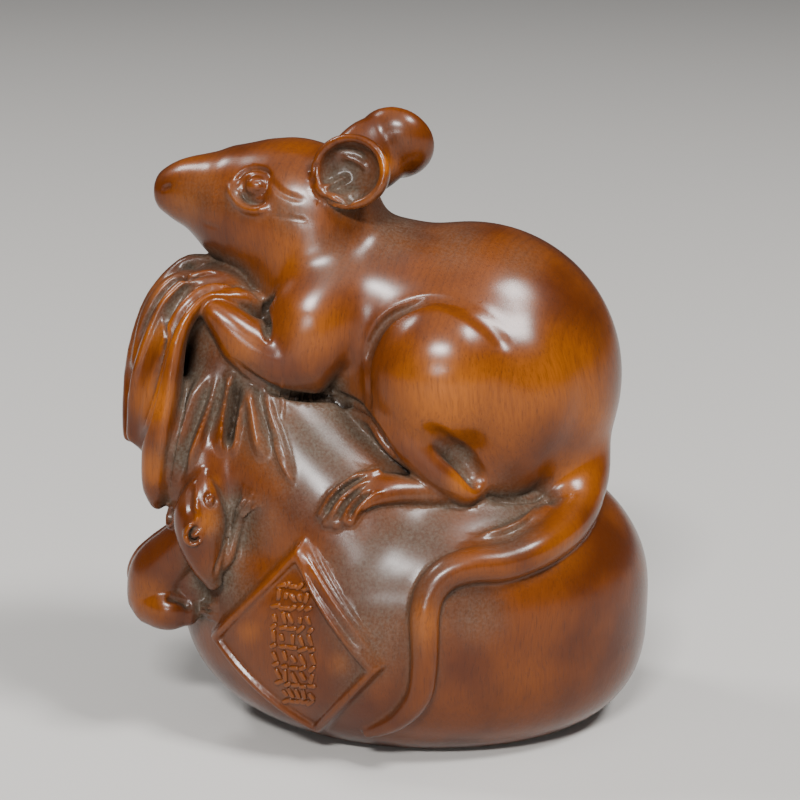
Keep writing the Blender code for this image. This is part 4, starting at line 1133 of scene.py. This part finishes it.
def stroke_tree():
    """Rows of small raised strokes on a skin: laid on a grid, dropped on to it, turned at random
    within limits, and stood along its normal."""
    tree = bpy.data.node_groups.new("rows of strokes", "GeometryNodeTree")
    face = tree.interface
    face.new_socket("Geometry", in_out="OUTPUT", socket_type="NodeSocketGeometry")
    face.new_socket("Geometry", in_out="INPUT", socket_type="NodeSocketGeometry")
    for name, kind in (("Skin", "Object"), ("Rows", "Int"), ("Strokes in a row", "Int"),
                       ("Row spacing", "Float"), ("Stroke spacing", "Float"),
                       ("Stroke length", "Float"), ("Stroke width", "Float"),
                       ("Relief", "Float"), ("Seed", "Int"), ("Finish", "Material")):
        face.new_socket(name, in_out="INPUT", socket_type="NodeSocket" + kind)
    put = partial(add, tree)
    given = put("NodeGroupInput").outputs

    # The modifier's own mesh is one point that carries the panel's place and turn
    wide, tall = (
        put(MATH, [put(MATH, [given[count], 1], operation="SUBTRACT"), given[spacing]],
            operation="MULTIPLY")
        for count, spacing in (("Strokes in a row", "Stroke spacing"), ("Rows", "Row spacing")))
    grid = put("GeometryNodeMeshGrid", {
        "Size X": wide, "Size Y": tall, "Vertices X": given["Strokes in a row"],
        "Vertices Y": given["Rows"]})
    # The rows draw in towards the panel's top and bottom corners
    spot = put("ShaderNodeSeparateXYZ", [put("GeometryNodeInputPosition")]).outputs
    off = put(MATH, [spot["Y"]], operation="ABSOLUTE")
    off = put(MATH, [off, tall], operation="DIVIDE")
    off = put(MATH, [off, 2.0], operation="POWER")
    off = put(MATH, [off, 1.5], operation="MULTIPLY")
    drawn_in = put(MATH, [1.0, off], operation="SUBTRACT")
    narrowed = put(MATH, [spot["X"], drawn_in], operation="MULTIPLY")
    grid = put("GeometryNodeSetPosition", {
        "Geometry": grid, "Position": put("ShaderNodeCombineXYZ", [narrowed, spot["Y"]])})
    turn, inward = (
        put("GeometryNodeInputNamedAttribute", {"Name": name},
            data_type="FLOAT_VECTOR").outputs["Attribute"] for name in ("turn", "inward"))
    places = put("GeometryNodeInstanceOnPoints", {
        "Points": given["Geometry"], "Instance": grid, "Rotation": turn})
    laid_out = put("GeometryNodeRealizeInstances", {"Geometry": places})
    number = put("GeometryNodeInputIndex")
    jitter = put("FunctionNodeRandomValue", {
        0: (-STROKE_JITTER,) * 3, 1: (STROKE_JITTER,) * 3, "ID": number,
        "Seed": given["Seed"]}, data_type="FLOAT_VECTOR")
    moved = put("GeometryNodeSetPosition", {"Geometry": laid_out, "Offset": jitter})
    skin = put("GeometryNodeObjectInfo", {"Object": given["Skin"]}, transform_space="RELATIVE")
    drop = put("GeometryNodeRaycast", {
        "Target Geometry": skin.outputs["Geometry"], "Ray Direction": inward,
        "Ray Length": 0.02})
    landed = put("GeometryNodeSetPosition", {
        "Geometry": moved, "Position": drop.outputs["Hit Position"]})
    # The skin's own small facets would tip the strokes, so the panel's direction counts double
    firm = put(VECTOR_MATH, [inward, (-2, -2, -2), drop.outputs["Hit Normal"]],
               operation="MULTIPLY_ADD")
    up = put("FunctionNodeAlignRotationToVector", {"Vector": firm}, axis="Z")
    # Every other stroke is turned, in each row and from row to row, and each leans at random
    row = put(MATH, [number, given["Rows"]], operation="DIVIDE")
    row = put(MATH, [row], operation="FLOOR")
    other = put(MATH, [number, row], operation="ADD")
    other = put(MATH, [other, 2.0], operation="FLOORED_MODULO")
    turned = put(MATH, [other, STROKE_TURN], operation="MULTIPLY")
    lean = put("FunctionNodeRandomValue", {
        2: -STROKE_LEAN, 3: STROKE_LEAN, "ID": number, "Seed": given["Seed"]},
        data_type="FLOAT").outputs[1]
    angle = put(MATH, [turned, lean], operation="ADD")
    twist = put("FunctionNodeEulerToRotation", [put("ShaderNodeCombineXYZ", {"Z": angle})])
    stand = put("FunctionNodeRotateRotation", {"Rotation": up, "Rotate By": twist},
                rotation_space="LOCAL")
    stretch = put("FunctionNodeRandomValue", {
        2: 0.65, 3: 1.25, "ID": number,
        "Seed": put(MATH, [given["Seed"], 7], operation="ADD")}, data_type="FLOAT").outputs[1]
    size = put("ShaderNodeCombineXYZ", [
        put(MATH, [given["Stroke length"], stretch], operation="MULTIPLY"),
        given["Stroke width"], put(MATH, [given["Relief"], 2.0], operation="MULTIPLY")])
    # One stroke is a ball squared into a bar with rounded ends, and 0.758 keeps it 1 long
    ball = put("GeometryNodeMeshUVSphere", {"Segments": 16, "Rings": 8, "Radius": 0.5})
    squared = []
    for side in put("ShaderNodeSeparateXYZ", [put("GeometryNodeInputPosition")]).outputs:
        away = put(MATH, [side], operation="ABSOLUTE")
        away = put(MATH, [away, 0.6], operation="POWER")
        away = put(MATH, [0.758, away], operation="MULTIPLY")
        sign = put(MATH, [side], operation="SIGN")
        squared.append(put(MATH, [sign, away], operation="MULTIPLY"))
    bar = put("GeometryNodeSetPosition", {
        "Geometry": ball, "Position": put("ShaderNodeCombineXYZ", squared)})
    smooth = put("GeometryNodeSetShadeSmooth", {"Geometry": bar})
    strokes = put("GeometryNodeInstanceOnPoints", {
        "Points": landed, "Instance": smooth, "Rotation": stand, "Scale": size})
    plain = put("GeometryNodeRealizeInstances", {"Geometry": strokes})
    finish = put("GeometryNodeSetMaterial", {"Geometry": plain, "Material": given["Finish"]})
    put("NodeGroupOutput", {"Geometry": finish})
    return tree


def panel_strokes(skin, bag_tree, middle, finish):
    """A column of stroke rows down the panel's long diagonal."""
    corners, out = panel_frame(bag_tree)
    down = unit(corners[3] - corners[1])
    down = unit(down - out * (down @ out))
    across = np.cross(-down, out)
    centre = 0.5 * corners[1] + 0.5 * corners[3] - COLUMN_SHIFT * across
    start = (centre - middle + out * DROP_HEIGHT) * MM
    mesh = mesh_of("panel_strokes", [start], [])
    axes = Matrix((across, -down, out)).transposed()
    for name, value in (("turn", axes.to_euler()[:]), ("inward", tuple(-out))):
        mesh.attributes.new(name, "FLOAT_VECTOR", "POINT").data[0].vector = value
    obj = placed("panel_strokes", mesh)
    rows = obj.modifiers.new("rows of strokes", "NODES")
    rows.node_group = stroke_tree()
    sizes = {"Skin": skin, "Rows": STROKE_ROWS, "Strokes in a row": STROKES_IN_ROW,
             "Row spacing": ROW_SPACING * MM, "Stroke spacing": STROKE_SPACING * MM,
             "Stroke length": STROKE_LENGTH * MM, "Stroke width": STROKE_WIDTH * MM,
             "Relief": STROKE_RELIEF * MM, "Seed": 5, "Finish": finish}
    for item in rows.node_group.interface.items_tree:
        if item.in_out == "INPUT" and item.name in sizes:
            rows[item.identifier] = sizes[item.name]
    as_plain_mesh(obj)
    points = rows_of(obj.data.vertices, "co")
    over = np.array([skin.closest_point_on_mesh(Vector(p))[1][:] for p in points])
    proud = np.linalg.norm(points - over, axis=1) / MM
    top = ramp(proud, 0.05, STROKE_RELIEF)
    store(obj.data, "film_and_sheen", 0.35 * (1 - top))
    store(obj.data, "worn", 0.35 * top)
    # Shelter at the strokes' bases becomes painted shade in the finish
    store(obj.data, "shelter", 0.55 * (1 - top))
    return obj


# Stage

def photo_stage():
    """A pale floor and five lights: two small bars in front, one over the rump, one behind the
    head, and a wide weak one above."""
    half = 3
    corners = [(-half, -half, 0), (half, -half, 0), (half, half, 0), (-half, half, 0)]
    mesh = mesh_of("floor", corners, [(0, 1, 2, 3)])
    floor = placed("floor", mesh)
    pale = bpy.data.materials.new("matt pale paper")
    pale.use_nodes = True
    shader = pale.node_tree.nodes["Principled BSDF"]
    shader.inputs["Base Color"].default_value = colour("#b8b5b1")
    shader.inputs["Roughness"].default_value = 0.8
    mesh.materials.append(pale)
    world = bpy.data.worlds.new("studio")
    world.use_nodes = True
    air = world.node_tree.nodes["Background"].inputs
    air["Color"].default_value = colour("#e4e8ee")
    air["Strength"].default_value = 0.08
    bpy.context.scene.world = world
    aim = Vector((0, 0, 0.05))
    # Degrees, then metres, then watts
    for name, azimuth, rise, away, wide, tall, power in (
            ("front bar", -9, 36, 1.1, 0.25, 0.09, 15.0),
            ("low bar", -9, 12, 1.1, 0.25, 0.05, 3.0),
            ("over the rump", 52, 54, 1.2, 0.28, 0.24, 17.0),
            ("behind the head", -110, 50, 1.4, 0.28, 0.24, 9.0),
            ("high and wide", -20, 72, 2.2, 2.0, 2.0, 10.0)):
        a, e = math.radians(azimuth), math.radians(rise)
        way = Vector((math.sin(a) * math.cos(e), -math.cos(a) * math.cos(e), math.sin(e)))
        light = bpy.data.lights.new(name, "AREA")
        light.shape = "RECTANGLE"
        light.size = wide
        light.size_y = tall
        light.energy = power
        lamp = placed(name, light)
        lamp.location = aim + way * away
        lamp.rotation_euler = way.to_track_quat("Z", "Y").to_euler()


def photo_camera(middle):
    """At the eye of the sight lines, 15 degrees above level."""
    lens = bpy.data.cameras.new("camera")
    lens.lens = LENS_LENGTH
    lens.sensor_width = FRAME_WIDTH
    camera = placed("camera", lens)
    camera.location = (SIGHT_EYE - middle) * MM
    camera.rotation_euler = (math.pi / 2 - SIGHT_RISE, 0, 0)
    bpy.context.scene.camera = camera


def main():
    skin, bag_tree = figure()
    carving, middle = flat_bottomed(skin, "rat_carving")
    thinned(carving, TRIANGLES)
    age(carving, middle, tree_of(skin))
    carving.data.transform(Matrix.Scale(MM, 4))
    carving.data.shade_smooth()
    carving.data.set_sharp_from_angle(angle=math.radians(60))
    finish = oiled_boxwood()
    carving.data.materials.append(finish)
    strokes = panel_strokes(carving, bag_tree, middle, finish)
    for piece in (carving, strokes):
        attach(piece, "root")
    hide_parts("rat_on_bag")
    photo_stage()
    photo_camera(middle)


main()
